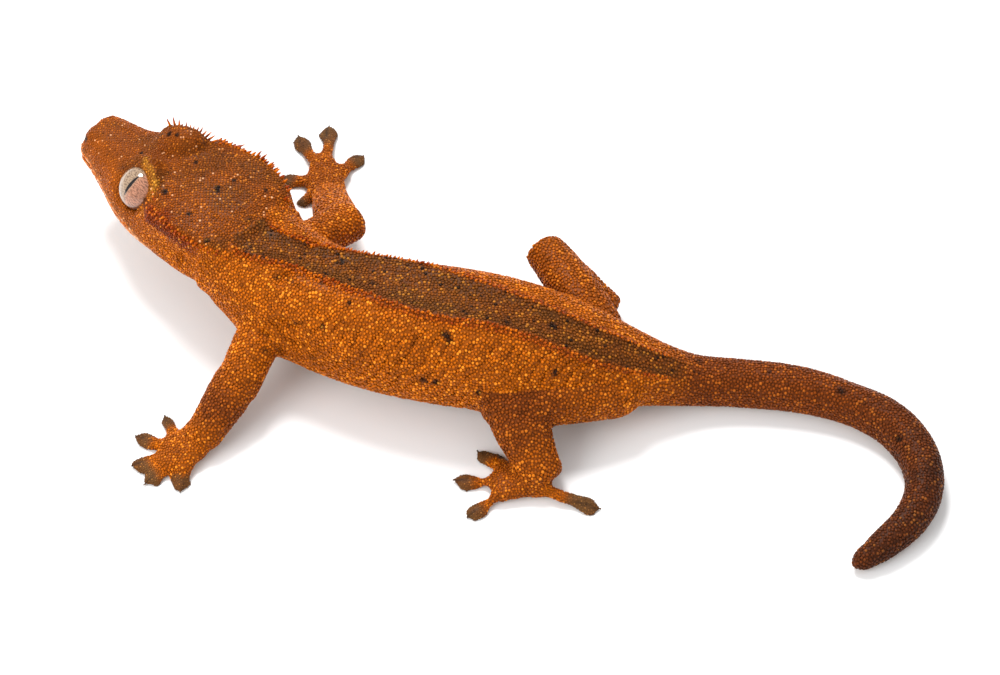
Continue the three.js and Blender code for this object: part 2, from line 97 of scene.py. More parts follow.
# The camera that sees the model as the photograph does: its height over level, distance and lens.
CAMERA_RISE = 52
CAMERA_DISTANCE = 417
CAMERA_LENS = 105
SENSOR_WIDTH = 36
PHOTO_SIZE = (1000, 675)
TILT = math.radians(CAMERA_RISE)
CAMERA_AHEAD = np.array([0, math.cos(TILT), -math.sin(TILT)])
CAMERA_UP = np.array([0, math.sin(TILT), math.cos(TILT)])

# The left fold that edges the back, as it shows in the photograph's frame, in pixels. The right one is
# given by stations, and angles round the body there: 0 is level right, 90 up and 180 level left.
LEFT_FOLD_PIXELS = [
    (240, 252), (280, 262), (320, 277), (360, 292), (415, 311), (449, 318), (482, 323), (507, 328),
    (540, 340), (570, 352), (600, 363), (640, 372), (680, 380), (720, 386),
]
RIGHT_FOLD = ((1.7, 4.9, 9, 11.6), (70, 48, 87, 92))

# The head's fringe, behind the eye to the nape: x and z in the head's frame.
FRINGE = [
    (11, 4.6), (9.6, 4.85), (7.6, 5.0), (6, 5.0), (3, 4.6), (1.3, 4.4), (-0.5, 4.0), (-2.2, 3.8),
    (-4.2, 3.3),
]


def place(points):
    """Body measures in millimetres to places in the scene, in metres."""
    return (np.asarray(points, float) + ORIGIN) * MM


def head_to_body(points):
    """Points in the head's own frame, x to the snout, y to the left, z up, to the body's."""
    return np.asarray(points, float) @ HEAD_TURN.T + HEAD_BASE


def body_to_head(points):
    return (points - HEAD_BASE) @ HEAD_TURN


def mirrored(spot, side):
    """A place on the head's left side, or its match on the right."""
    return np.array(spot) * [1, side, 1]


def gap_to(points, spot):
    return np.linalg.norm(points - spot, axis=1)


def bell(x, middle=0.0, spread=1.0):
    return np.exp(-(((x - middle) / spread) ** 2))


def ease(x, low, high):
    """0 below low, 1 above high, with soft ends."""
    t = np.clip((x - low) / (high - low), 0, 1)
    return t * t * (3 - 2 * t)


def stretch(x, start, full, fade, end):
    """0 before the start, 1 from full to fade, and 0 again past the end, with soft slopes."""
    return ease(x, start, full) * (1 - ease(x, fade, end))


def fold_angle(fold, station):
    """The angle of a fold round the body at a station."""
    return np.interp(station, *fold)


class Trunk:
    """The middle line as a smooth curve, and each point's place along and round it."""

    STEPS = 24
    CHUNK = 20000

    def __init__(self):
        points = np.array(MIDDLE_LINE)
        last = len(points) - 1
        padded = np.vstack([2 * points[0] - points[1], points, 2 * points[-1] - points[-2]])
        stations = np.linspace(0, last, last * self.STEPS + 1)
        index = np.minimum(stations.astype(int), last - 1)
        w = (stations - index)[:, None]
        p0, p1, p2, p3 = (padded[index + k] for k in range(4))
        self.stations = stations
        self.middle = 0.5 * (2 * p1 + (p2 - p0) * w + (2 * p0 - 5 * p1 + 4 * p2 - p3) * w**2
                             + (3 * p1 - p0 - 3 * p2 + p3) * w**3)
        ahead = np.gradient(self.middle, axis=0)
        self.pace = np.linalg.norm(ahead, axis=1) * self.STEPS
        self.ahead = ahead / np.linalg.norm(ahead, axis=1)[:, None]
        side = np.cross([0, 0, 1], self.ahead)
        self.side = side / np.linalg.norm(side, axis=1)[:, None]
        self.up = np.cross(self.ahead, self.side)

    def locate(self, points):
        """(station, angle in degrees, distance) of each point."""
        nearest = np.empty(len(points), int)
        for start in range(0, len(points), self.CHUNK):
            chunk = points[start:start + self.CHUNK]
            gap = (chunk**2).sum(1)[:, None] - 2 * chunk @ self.middle.T + (self.middle**2).sum(1)
            nearest[start:start + self.CHUNK] = gap.argmin(1)
        offset = points - self.middle[nearest]
        along = (offset * self.ahead[nearest]).sum(1)
        across = (offset * self.side[nearest]).sum(1)
        upward = (offset * self.up[nearest]).sum(1)
        station = self.stations[nearest] + along / self.pace[nearest]
        angle = np.degrees(np.arctan2(upward, across))
        angle = np.where(angle < -90, angle + 360, angle)
        return station, angle, np.hypot(across, upward)


TRUNK = Trunk()


class NodeFinder:
    """Says which solid each point belongs to, and what shows at a pixel of the photograph's frame."""

    def __init__(self, names):
        corners, faces, self.owner = [], [], []
        for index, name in enumerate(names):
            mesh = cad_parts[name].data
            start = len(corners)
            corners += [vertex.co / MM for vertex in mesh.vertices]
            faces += [[start + v for v in polygon.vertices] for polygon in mesh.polygons]
            self.owner += [index] * len(mesh.polygons)
        self.tree = BVHTree.FromPolygons(corners, faces)

    def nearest(self, points):
        return np.array([self.owner[self.tree.find_nearest(Vector(p + ORIGIN))[2]] for p in points])

    def seen(self, pixel, tries=8):
        """The place that shows at a pixel or, for one just past the outline, the nearest to its ray."""
        focal = CAMERA_LENS / SENSOR_WIDTH * PHOTO_SIZE[0]
        across, down = (np.array(pixel) - np.array(PHOTO_SIZE) / 2) / focal
        ray = CAMERA_AHEAD + across * np.array([1, 0, 0]) - down * CAMERA_UP
        ray /= np.linalg.norm(ray)
        start = ORIGIN - CAMERA_AHEAD * CAMERA_DISTANCE
        met = self.tree.ray_cast(Vector(start), Vector(ray))[0]
        if met is None:
            met = start + ray * CAMERA_DISTANCE
            for _ in range(tries):
                along = (np.array(met) - start) @ ray
                met = self.tree.find_nearest(Vector(start + ray * along))[0]
        return np.array(met) - ORIGIN


FINDER = NodeFinder(FLESH)


def fold_on_trunk(pixels):
    """A fold's stations and angles, from where it shows."""
    finder = NodeFinder(TRUNK_NODES)
    station, angle, _ = TRUNK.locate(np.array([finder.seen(pixel) for pixel in pixels]))
    order = np.argsort(station)
    return station[order], angle[order]


LEFT_FOLD = fold_on_trunk(LEFT_FOLD_PIXELS)


def read(items, field, width=3, kind=float):
    """One field of every item, as a row each, or as a number each where the width is 1."""
    values = np.empty(len(items) * width, kind)
    items.foreach_get(field, values)
    return values.reshape(-1, width) if width > 1 else values


def read_points(mesh):
    return read(mesh.vertices, "co") / MM - ORIGIN


def read_normals(mesh):
    return read(mesh.vertex_normals, "vector")


def face_centres(mesh):
    return read(mesh.polygons, "center") / MM - ORIGIN


def get_attribute(mesh, name, width=1):
    return read(mesh.attributes[name].data, "vector" if width > 1 else "value", width)


def set_attribute(mesh, name, values, kind="FLOAT", domain="POINT"):
    field = "value" if kind == "FLOAT" else "vector"
    mesh.attributes.new(name, kind, domain).data.foreach_set(field, np.ravel(values).astype(float))


def write_points(mesh, points):
    mesh.vertices.foreach_set("co", place(points).ravel())
    mesh.update()


def ripple(points, size, seed):
    """Smooth noise from -1 to 1 whose waves are about size apart."""
    shift = Vector((seed * 17.3, seed * 5.1, seed * 9.7))
    return np.array([noise.noise(Vector(p) + shift) for p in points / size])


def select_only(*objects):
    bpy.ops.object.select_all(action="DESELECT")
    for item in objects:
        item.select_set(True)
    bpy.context.view_layer.objects.active = objects[-1]


def add_form(kind, name="form", **measures):
    """A new primitive, with nothing else selected."""
    bpy.ops.object.select_all(action="DESELECT")
    getattr(bpy.ops.mesh, f"primitive_{kind}_add")(**measures)
    bpy.context.object.name = name
    return bpy.context.object


def add_object(name, data):
    item = bpy.data.objects.new(name, data)
    bpy.context.scene.collection.objects.link(item)
    return item


def apply_modifier(item, kind, **settings):
    select_only(item)
    modifier = item.modifiers.new(kind.lower(), kind)
    for name, value in settings.items():
        setattr(modifier, name, value)
    bpy.ops.object.modifier_apply(modifier=modifier.name)


@contextmanager
def editing(item, chosen=None):
    """Edit mode with all of a mesh selected or, given a mask, only the chosen faces."""
    select_only(item)
    bpy.ops.object.mode_set(mode="EDIT")
    if chosen is None:
        bpy.ops.mesh.select_all(action="SELECT")
    else:
        bpy.ops.mesh.select_mode(type="FACE")
        bpy.ops.mesh.select_all(action="DESELECT")
        bpy.ops.object.mode_set(mode="OBJECT")
        item.data.polygons.foreach_set("select", chosen)
        bpy.ops.object.mode_set(mode="EDIT")
    yield
    bpy.ops.object.mode_set(mode="OBJECT")


def lay_bake_map(mesh, spots):
    """Gives a mesh its bake map, from each point's place on it."""
    corners = read(mesh.loops, "vertex_index", 1, int)
    layer = mesh.uv_layers.new(name=BAKE_MAP)
    layer.uv.foreach_set("vector", np.clip(spots, 0.001, 0.999)[corners].ravel())


class Wire:
    """A socket of a shader or geometry tree, so that its maths reads as arithmetic."""

    def __init__(self, tree, socket):
        self.tree = tree
        self.socket = socket

    def maths(self, operation, other=0.0, flipped=False, clamp=False):
        node = self.tree.nodes.new("ShaderNodeMath")
        node.operation = operation
        node.use_clamp = clamp
        for socket, value in zip(node.inputs, (other, self) if flipped else (self, other)):
            plug(self.tree, socket, value)
        return Wire(self.tree, node.outputs[0])

    def __add__(self, other):
        return self.maths("ADD", other)

    def __sub__(self, other):
        return self.maths("SUBTRACT", other)

    def __rsub__(self, other):
        return self.maths("SUBTRACT", other, flipped=True)

    def __mul__(self, other):
        return self.maths("MULTIPLY", other)

    def __truediv__(self, other):
        return self.maths("DIVIDE", other)

    def __pow__(self, other):
        return self.maths("POWER", other)

    def clamped(self):
        return self.maths("ADD", clamp=True)

    __radd__ = __add__
    __rmul__ = __mul__


def plug(tree, socket, value):
    """Sets an input to a value, or links it to a wire."""
    if isinstance(value, Wire):
        tree.links.new(value.socket, socket)
    else:
        socket.default_value = value


class Graph:
    """A node tree under construction: every node but plain maths comes from its one method."""

    def __init__(self, tree):
        self.tree = tree

    def node(self, kind, settings=None, inputs=None, output=0):
        made = self.tree.nodes.new(kind)
        for name, value in (settings or {}).items():
            setattr(made, name, value)
        for name, value in (inputs or {}).items():
            plug(self.tree, made.inputs[name], value)
        return Wire(self.tree, made.outputs[output])

    def mask(self, name):
        return self.node("ShaderNodeAttribute", {"attribute_name": name}, output="Fac")

    def mix(self, factor, first, second, blend="MIX"):
        settings = {"data_type": "RGBA", "blend_type": blend, "clamp_factor": True}
        return self.node("ShaderNodeMix", settings, {0: factor, 6: first, 7: second}, output=2)

    def noise(self, waves_per_mm, detail=2.0, roughness=0.5, over=None):
        """Noise over the piece's own places, or over other coordinates."""
        over = over or self.node("ShaderNodeTexCoord", output="Object")
        inputs = {"Vector": over, "Scale": waves_per_mm / MM, "Detail": detail, "Roughness": roughness}
        return self.node("ShaderNodeTexNoise", {"noise_dimensions": "3D"}, inputs)

    def ramp(self, value, low, high):
        inputs = {"Value": value, "From Min": low, "From Max": high, "To Min": 0.0, "To Max": 1.0}
        return self.node("ShaderNodeMapRange", {"interpolation_type": "SMOOTHSTEP"}, inputs)


class Finish(Graph):
    """A material under construction."""

    def __init__(self, name, roughness, coat=0.0, shine=0.12):
        self.material = bpy.data.materials.new(name)
        self.material.use_nodes = True
        super().__init__(self.material.node_tree)
        self.shader = self.tree.nodes["Principled BSDF"].inputs
        self.shader["Roughness"].default_value = roughness
        self.shader["Coat Weight"].default_value = coat
        self.shader["Specular IOR Level"].default_value = shine

    def coloured(self, base):
        """The material, with its colour linked."""
        plug(self.tree, self.shader["Base Color"], base)
        return self.material


def colour(hexadecimal):
    """A screen colour such as 0xb5651d, as the light values that shaders mix."""
    channels = [(hexadecimal >> shift & 255) / 255 for shift in (16, 8, 0)]
    return tuple(c / 12.92 if c <= 0.04045 else ((c + 0.055) / 1.055) ** 2.4 for c in channels) + (1.0,)


def measure(name, about, value):
    return FloatProperty(name=name, description=about, default=value)


def tone(name, about, hexadecimal):
    return FloatVectorProperty(name=name, description=about, subtype="COLOR", size=4,
                               default=colour(hexadecimal))


# Skin

# How far the head is swelled while the mouth's slit closes, before it shrinks back.
HEAD_SWELL = 0.25


def copy_flesh():
    """The flesh's solids as one loose mesh, sunk into each other, without the spines that stand on them."""
    meets = {name: BVHTree.FromPolygons(*loose_faces(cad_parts[name].data)) for name in FLESH}
    copies = []
    for name in FLESH:
        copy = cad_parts[name].copy()
        copy.data = copy.data.copy()
        copy.parent = None
        bpy.context.scene.collection.objects.link(copy)
        with editing(copy):
            bpy.ops.mesh.remove_doubles(threshold=0.001 * MM)
        flatten_spines(copy.data)
        neighbours = [tree for other, tree in meets.items() if other != name and may_fuse(name, other)]
        sink_into(copy.data, neighbours)
        copies.append(copy)
    swell_head(copies[FLESH.index("head")].data)
    select_only(*copies)
    bpy.ops.object.join()
    flesh = bpy.context.object
    flesh.name = flesh.data.name = "skin"
    for key in list(flesh.keys()):
        del flesh[key]
    return flesh


def loose_faces(mesh):
    return read_points(mesh).tolist(), [polygon.vertices[:] for polygon in mesh.polygons]


def may_fuse(name, other):
    """Toes join only their own hand or foot, and never each other."""
    if "_toe_" in name or "_toe_" in other:
        return name.split("_toe_")[0] == other or other.split("_toe_")[0] == name
    return True


def sink_into(mesh, neighbours, reach=0.45, depth=0.5):
    """Moves each point that lies against a neighbour on into it, so that the two fuse with no groove."""
    points = read_points(mesh)
    for index, point in enumerate(points):
        for tree in neighbours:
            met, _, _, gap = tree.find_nearest(Vector(point), reach)
            if met is not None and gap > 0.01:
                points[index] = point + (np.array(met) - point) * (1 + depth / gap)
                break
    write_points(mesh, points)


def swell_head(mesh):
    """Swells the head a little, which closes the mouth's slit until it is modelled again."""
    write_points(mesh, read_points(mesh) + read_normals(mesh) * HEAD_SWELL)


def flatten_spines(mesh, sharpest=0.6):
    """Pulls each lone peak down among its neighbours."""
    points = read_points(mesh)
    edges = np.array([edge.vertices[:] for edge in mesh.edges])
    count = np.bincount(edges.ravel(), minlength=len(points))
    first, second = edges.T
    total = np.zeros_like(points)
    np.add.at(total, first, points[second])
    np.add.at(total, second, points[first])
    mean = total / count[:, None]
    lengths = gap_to(points[first], points[second])
    reach = np.bincount(first, lengths, len(points)) + np.bincount(second, lengths, len(points))
    reach /= count
    outward = ((points - mean) * read_normals(mesh)).sum(1)
    peaks = outward > sharpest * reach
    points[peaks] = mean[peaks]
    write_points(mesh, points)


def eye_axes(side):
    """The eye's centre, its forward direction and its outward one, in the head's frame."""
    out = mirrored(EYE_OUT, side)
    out /= np.linalg.norm(out)
    forward = np.array([1.0, 0, 0]) - out[0] * out
    forward /= np.linalg.norm(forward)
    return mirrored(EYE_PLACE, side), forward, out


def round_eye(head, side):
    """Each point's way from an eye's centre, its distance, and its angle from the eye's axis, in degrees."""
    centre, _, out = eye_axes(side)
    away = head - centre
    reach = np.linalg.norm(away, axis=1)
    return away, reach, np.degrees(np.arccos(np.clip(away @ out / reach, -1, 1)))


def eye_matrix(side, lift=0.0):
    """Turns a piece modelled upright, in millimetres, so that its Z is the eye's outward axis."""
    centre, forward, out = eye_axes(side)
    turned = Matrix(np.column_stack([forward, np.cross(out, forward), out]).tolist())
    body = Matrix(HEAD_TURN.tolist()) @ turned
    middle = place(head_to_body([centre + lift * out]))[0]
    return Matrix.Translation(Vector(middle)) @ body.to_4x4() @ Matrix.Scale(MM, 4)


def add_lid_ring(side, settings):
    """A soft ring of skin round the opening of the eye."""
    ring = add_form("torus", major_radius=settings.lid_ring, minor_radius=settings.lid_thickness,
                    major_segments=40, minor_segments=12)
    ring.data.transform(eye_matrix(side, lift=settings.lid_lift))
    return ring


class SkinSettings(bpy.types.PropertyGroup):
    grain: measure("Grain", "Size of the skin's faces, mm", 0.44)
    smoothing: IntProperty(name="Smoothing", description="Rounds of smoothing", default=7)
    lid_ring: measure("Lid ring", "Radius of the ring round the eye, mm", 3.25)
    lid_thickness: measure("Lid thickness", "Radius of the lid's edge, mm", 0.42)
    lid_lift: measure("Lid lift", "Lid's height over the eye's centre, mm", 0.9)
    lid_opening: measure("Lid opening", "Half angle of the left eye's lids, degrees", 71)
    fold_height: measure("Fold height", "Rise of the folds of the back, mm", 0.35)
    wrinkle_depth: measure("Wrinkle depth", "Depth of the flank's wrinkles, mm", 0.5)
    wrinkle_spacing: measure("Wrinkle spacing", "Between flank wrinkles, mm", 1.5)
    lip_height: measure("Lip height", "Swell of the lips, mm", 0.2)
    mouth_depth: measure("Mouth depth", "Depth of the mouth's line, mm", 0.45)
    brow_height: measure("Brow height", "Rise of the right brow, mm", 1.1)


# The head's details: the mouth's line as x and z, and the middles of the left nostril, ear and brow.
MOUTH_LINE = [
    (9.5, -3.5), (12, -3.0), (14, -2.3), (16.5, -1.95), (20, -1.75), (23, -1.6), (26, -0.95), (30.2, -0.6),
]
NOSTRIL = (28.3, 1.6, 1.9)
EAR = (3.2, 9.0, -0.4)
EAR_SIZE = (0.55, 1.15)
BROW = (13.2, 5.4, 6.2)
BROW_SIZE = (4.2, 3.0, 3.0)
LEFT_BROW_SHARE = 0.4
RIGHT_LID_DROOP = 24
SNOUT_SHIFT = (0.35, 0.55, 0)


def mouth_height(x):
    return np.interp(x, *zip(*MOUTH_LINE))


def sculpt_head(points, settings):
    """How far the skin of the head moves outwards: mouth, lips, nostrils, ears and brows."""
    head = body_to_head(points)
    x, y, z = head.T
    near = (np.abs(y) < 13) & (np.abs(z) < 12) & (x > -6) & (x < HEAD_LENGTH + 2)
    over = z - mouth_height(x)
    jaw = near * ease(x, 9.6, 12)
    rise = -settings.mouth_depth * bell(over, 0, 0.22)
    rise = rise + settings.lip_height * (bell(over, 0.8, 0.5) + 0.8 * bell(over, -0.75, 0.45))
    moved = jaw * rise
    for side in SIDES.values():
        gap = gap_to(head, mirrored(NOSTRIL, side))
        moved += near * (0.15 * bell(gap, 0.9, 0.3) - 0.6 * bell(gap, 0, 0.45))
        ear = head - mirrored(EAR, side)
        gap = np.hypot(ear[:, 0] / EAR_SIZE[0], ear[:, 2] / EAR_SIZE[1])
        moved += near * (y * side > 0) * (0.2 * bell(gap, 1.5, 0.5) - 0.5 * bell(gap, 0, 0.8))
        brow = np.linalg.norm((head - mirrored(BROW, side)) / BROW_SIZE, axis=1)
        share = 1 if side < 0 else LEFT_BROW_SHARE
        moved += near * settings.brow_height * share * bell(brow, 0, 0.8)
    return moved


def open_lids(points, settings):
    """Takes the skin in front of each eye back behind the eyeball's face."""
    head = body_to_head(points)
    for side in SIDES.values():
        away, reach, angle = round_eye(head, side)
        opening = settings.lid_opening - (0 if side > 0 else RIGHT_LID_DROOP)
        share = (1 - ease(angle, opening - 7, opening + 3)) * (reach < 6.5)
        back = np.minimum(reach, EYE_RADIUS * 0.84)
        head = eye_axes(side)[0] + away * (1 + share * (back / reach - 1))[:, None]
    return head_to_body(head)


def shift_snout(points):
    """Shifts the tip of the snout, which is blunt and turns a little to the right."""
    head = body_to_head(points)
    share = (ease(head[:, 0], 21, 28) * (np.abs(head[:, 1]) < 12))[:, None]
    return points + share * np.array(SNOUT_SHIFT)


def sculpt_trunk(points, station, angle, settings):
    """The folds that edge the back, and the fine slanting wrinkles of the flanks."""
    left = fold_angle(LEFT_FOLD, station)
    right = fold_angle(RIGHT_FOLD, station)
    along = stretch(station, 1.2, 2.4, 9.5, 11.5)
    moved = along * settings.fold_height * (bell(angle, left, 5) + bell(angle, right, 5))
    moved -= along * 0.12 * bell(angle, (left + right) / 2, 16)
    girth = np.radians(angle) * 9
    slant = (1.3 * points[:, 0] + np.where(angle > 90, 1, -1) * girth) / 1.64
    wander = ripple(points, 5.0, seed=1)
    crest = np.abs(np.sin(math.pi * slant / settings.wrinkle_spacing + 2.2 * wander))
    flank = ease(angle, 118, 138) + (1 - ease(angle, 22, 42))
    reach = stretch(station, 3.4, 4.6, 9, 10.6)
    patchy = 0.55 + 0.45 * ripple(points, 7.0, seed=2)
    moved -= flank * reach * patchy * settings.wrinkle_depth * (1 - crest) ** 2 * 2
    return moved


# The creases of the left armpit, as they show in the photograph's frame, in pixels.
CREASE_PIXELS = [
    [(270, 325), (276, 328), (284, 338), (293, 343), (305, 346)],
    [(263, 333), (270, 336), (276, 345), (283, 352)],
    [(275, 322), (285, 322), (295, 330)],
]
CREASE_DEPTH = 0.8
CREASES = [[FINDER.seen(pixel) for pixel in line] for line in CREASE_PIXELS]


def crease_depth(points):
    """How near each point lies to a crease, 1 on its line and 0 away from it."""
    depth = np.zeros(len(points))
    for crease in CREASES:
        for start, end in zip(np.array(crease[:-1]), np.array(crease[1:])):
            span = end - start
            share = np.clip((points - start) @ span / (span @ span), 0, 1)
            gap = np.linalg.norm(points - start - share[:, None] * span, axis=1)
            depth = np.maximum(depth, bell(gap, 0, 0.5))
    return depth


def region_of(node):
    if node == "head":
        return "head"
    if node in TRUNK_NODES:
        return "trunk"
    if "_toe_" in node:
        return "toe"
    return "hand" if node.endswith(("hand", "foot")) else "limb"


def add_hip():
    """The muscle behind the left thigh, which fills the step between the leg and the tail."""
    hip = add_form("ico_sphere", subdivisions=4, radius=1)
    size = Matrix.Diagonal((*np.array(HIP_SIZE) * MM, 1))
    turn = Matrix.Rotation(math.radians(HIP_HEADING), 4, "Z")
    hip.data.transform(Matrix.Translation(Vector(place([HIP])[0])) @ turn @ size)
    return hip


def even_tail(points, first=9.5, per_station=4, bins=42, turns=24, spread=2.6):
    """Evens out the girth along the tail, so that the solids' cut ends leave no steps."""
    station, angle, girth = TRUNK.locate(points)
    on_tail = np.array([FLESH[i].startswith("tail") or FLESH[i] == "torso" for i in FINDER.nearest(points)])
    along = (station - first) * per_station
    around = (angle + 90) / 360 * turns
    used = on_tail & (along > 0) & (along < bins - 1)
    total = np.zeros((bins, turns))
    count = np.zeros((bins, turns))
    cell = (along[used].astype(int), around[used].astype(int) % turns)
    np.add.at(total, cell, girth[used])
    np.add.at(count, cell, 1)
    reach = np.arange(bins)
    weight = np.exp(-(((reach[:, None] - reach) / spread) ** 2))
    mean = (weight @ total) / np.maximum(weight @ count, 1e-6)
    low = np.clip((along - 0.5).astype(int), 0, bins - 2)
    side = np.floor(around - 0.5).astype(int)
    across = np.clip(along - 0.5 - low, 0, 1)
    turn = around - 0.5 - side
    near, far = (mean[row, side % turns] * (1 - turn) + mean[row, (side + 1) % turns] * turn
                 for row in (low, low + 1))
    even = near * (1 - across) + far * across
    share = on_tail * stretch(station, 10.2, 11.0, 18.8, 19.4)
    index = np.clip(np.rint(station * TRUNK.STEPS).astype(int), 0, len(TRUNK.middle) - 1)
    away = points - TRUNK.middle[index]
    away -= (away * TRUNK.ahead[index]).sum(1)[:, None] * TRUNK.ahead[index]
    away /= np.maximum(np.linalg.norm(away, axis=1), 1e-6)[:, None]
    return points + away * (share * (even - girth))[:, None]


def toe_frame(name):
    """A toe's root, its length and its level direction ahead."""
    palm = read_points(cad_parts[name.split("_toe_")[0]].data).mean(0)
    toe = read_points(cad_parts[name].data)
    reach = np.linalg.norm((toe - palm)[:, :2], axis=1)
    root, tip = toe[reach.argmin()], toe[reach.argmax()]
    ahead = np.array([*(tip - root)[:2], 0])
    length = np.linalg.norm(ahead)
    return root, length, ahead / length


def place_on_toe(points, name):
    """Each point's share of the toe's length, and its distance to the left of the toe's middle."""
    root, length, ahead = toe_frame(name)
    away = points - root
    return away @ ahead / length, away @ np.cross([0, 0, 1], ahead)


# How far the pads are drawn out, over the toe's length, and how much wider they are made.
PAD_LONGER = 0.22
PAD_WIDER = 0.4


def spread_toe(points, name):
    """Draws the toe's pad out into a broad leaf."""
    _, length, ahead = toe_frame(name)
    share, across = place_on_toe(points, name)
    grown = ease(share, 0.1, 0.6)
    left = np.cross([0, 0, 1], ahead)
    longer = np.outer(grown * share * length * PAD_LONGER, ahead)
    return points + longer + np.outer(grown * across * PAD_WIDER, left)


# The station from which the tail's tip is rounded, and the depth of the groove down each toe.
TAIL_TIP = 19.3
GROOVE_DEPTH = 0.22


class SculptSkin(bpy.types.Operator):
    """Makes one skin of the flesh's solids and models its folds, lips, lids and wrinkles"""

    bl_idname = "gecko.sculpt_skin"
    bl_label = "Sculpt skin"

    def execute(self, context):
        settings = context.scene.gecko_skin
        flesh = copy_flesh()
        rings = [add_lid_ring(side, settings) for side in SIDES.values()]
        select_only(*rings, add_hip(), flesh)
        bpy.ops.object.join()
        skin = context.object
        apply_modifier(skin, "REMESH", mode="VOXEL", voxel_size=settings.grain * MM)
        apply_modifier(skin, "SMOOTH", factor=0.5, iterations=settings.smoothing)
        points = read_points(skin.data)
        node = FINDER.nearest(points)
        points -= read_normals(skin.data) * HEAD_SWELL * (node == FLESH.index("head"))[:, None]
        points[:, 2] = np.maximum(points[:, 2], 0)
        write_points(skin.data, points)
        write_points(skin.data, even_tail(read_points(skin.data)))
        self.refine_head(skin)
        self.round_ends(skin, rounds=5)
        points = read_points(skin.data)
        normals = read_normals(skin.data)
        station, angle, _ = TRUNK.locate(points)
        on_trunk = np.isin(FINDER.nearest(points), [FLESH.index("neck"), FLESH.index("torso")])
        moved = sculpt_head(points, settings)
        folds = on_trunk * sculpt_trunk(points, station, angle, settings)
        moved += folds - CREASE_DEPTH * crease_depth(points)
        points = open_lids(points + normals * moved[:, None], settings)
        points = shift_snout(points)
        node = FINDER.nearest(read_points(skin.data))
        for index, name in TOES.items():
            here = node == index
            share, across = place_on_toe(points[here], name)
            groove = ease(share, 0.5, 0.65) * (normals[here, 2] > 0.3) * bell(across, 0, 0.25)
            points[here, 2] -= GROOVE_DEPTH * groove
            points[here] = spread_toe(points[here], name)
        write_points(skin.data, points)
        self.round_ends(skin, rounds=6)
        select_only(skin)
        bpy.ops.object.shade_smooth()
        skin.data.materials.clear()
        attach(skin, "root")
        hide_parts(*FLESH)
        return {"FINISHED"}

    def round_ends(self, skin, rounds):
        """Rounds the toes and the tip of the tail, whose ends are cut square in the solids."""
        centres = face_centres(skin.data)
        on_tip = TRUNK.locate(centres)[0] > TAIL_TIP
        with editing(skin, np.isin(FINDER.nearest(centres), list(TOES)) | on_tip):
            bpy.ops.mesh.vertices_smooth(factor=0.5, repeat=rounds)

    def refine_head(self, skin):
        """Gives the head finer faces, and rounds off what they show."""
        centres = face_centres(skin.data)
        head = body_to_head(centres)
        on_head = FINDER.nearest(centres) == FLESH.index("head")
        with editing(skin, on_head & (head[:, 0] > -1)):
            bpy.ops.mesh.subdivide(number_cuts=1, smoothness=0)
            bpy.ops.mesh.vertices_smooth(factor=0.5, repeat=3)


# Markings, and painted shade in the hollows: each is a mask that both the skin and the scales on it carry.

class MarkingSettings(bpy.types.PropertyGroup):
    flank: tone("Flank", "Orange of the flanks", 0xCC6806)
    back: tone("Back", "Brown of the back", 0x704012)
    crown: tone("Crown", "Brown of the crown", 0xA4520C)
    snout: tone("Snout", "Orange brown of the snout", 0xBC5E0C)
    rust: tone("Rust", "Red along the crest", 0x8C3404)
    dark: tone("Dark", "Dark brown of legs and tail", 0x88400E)
    tail: tone("Tail", "Brown of the tail's end", 0x542A14)
    pads: tone("Pads", "Grey brown of the toe pads", 0x805830)
    lips: tone("Lips", "Pale pink of the lip scales", 0xD08C5A)
    belly: tone("Belly", "Cream of the underside", 0xB88442)
    # Gold is the colour of the rims round the eyes, and is also painted on the tops of a few scales as a
    # highlight.
    gold: tone("Gold", "Of the brightest scales", 0xF0A838)
    # A painted highlight: the pale glints on scales of the head and on the lip scales.
    glints: tone("Glints", "Of the palest scales of head and lips", 0xF4D2B0)
    # The spots' black is also painted into the hollows as shade.
    spots: tone("Spots", "Black of the spots", 0x140C08)


# The black spots: where each shows in the photograph's frame, in pixels, and its radius in millimetres.
SPOTS = [
    ((170, 134), 0.42), ((265, 190), 0.3), ((195, 163), 0.3), ((165, 193), 0.5), ((190, 214), 0.4),
    ((140, 200), 0.3), ((234, 180), 0.36), ((218, 188), 0.4), ((446, 336), 0.6), ((450, 340), 0.5),
    ((372, 282), 0.45), ((404, 285), 0.4), ((553, 324), 0.6), ((507, 323), 0.45), ((422, 380), 0.5),
    ((437, 383), 0.5), ((480, 393), 0.5), ((557, 372), 0.5), ((162, 134), 0.25), ((178, 136), 0.3),
    ((142, 153), 0.3), ((168, 174), 0.25), ((217, 191), 0.35), ((250, 219), 0.3), ((206, 240), 0.35),
    ((277, 277), 0.35), ((286, 277), 0.3), ((294, 282), 0.3), ((294, 323), 0.35), ((321, 327), 0.4),
    ((349, 303), 0.35), ((315, 364), 0.35), ((266, 352), 0.3), ((341, 261), 0.5), ((356, 268), 0.35),
    ((320, 283), 0.35), ((388, 303), 0.35), ((414, 304), 0.35), ((840, 392), 0.5), ((700, 362), 0.35),
    ((770, 372), 0.35), ((900, 440), 0.4), ((927, 490), 0.4),
]

# Dark patches of the limbs, each a centre and a radius in the body's frame.
DARK_PATCHES = [
    ((2.5, -17.5, 8), 9), ((3.5, -22, 5), 5), ((-38.5, -15.5, 5), 5.5), ((-37, -13, 4), 4.5),
]


def crest_height(x):
    """Height of the edge of the crown in the head's frame."""
    xs, zs = zip(*sorted(FRINGE + [(14, 3.4), (18, 3.0)]))
    return np.interp(x, xs, zs)


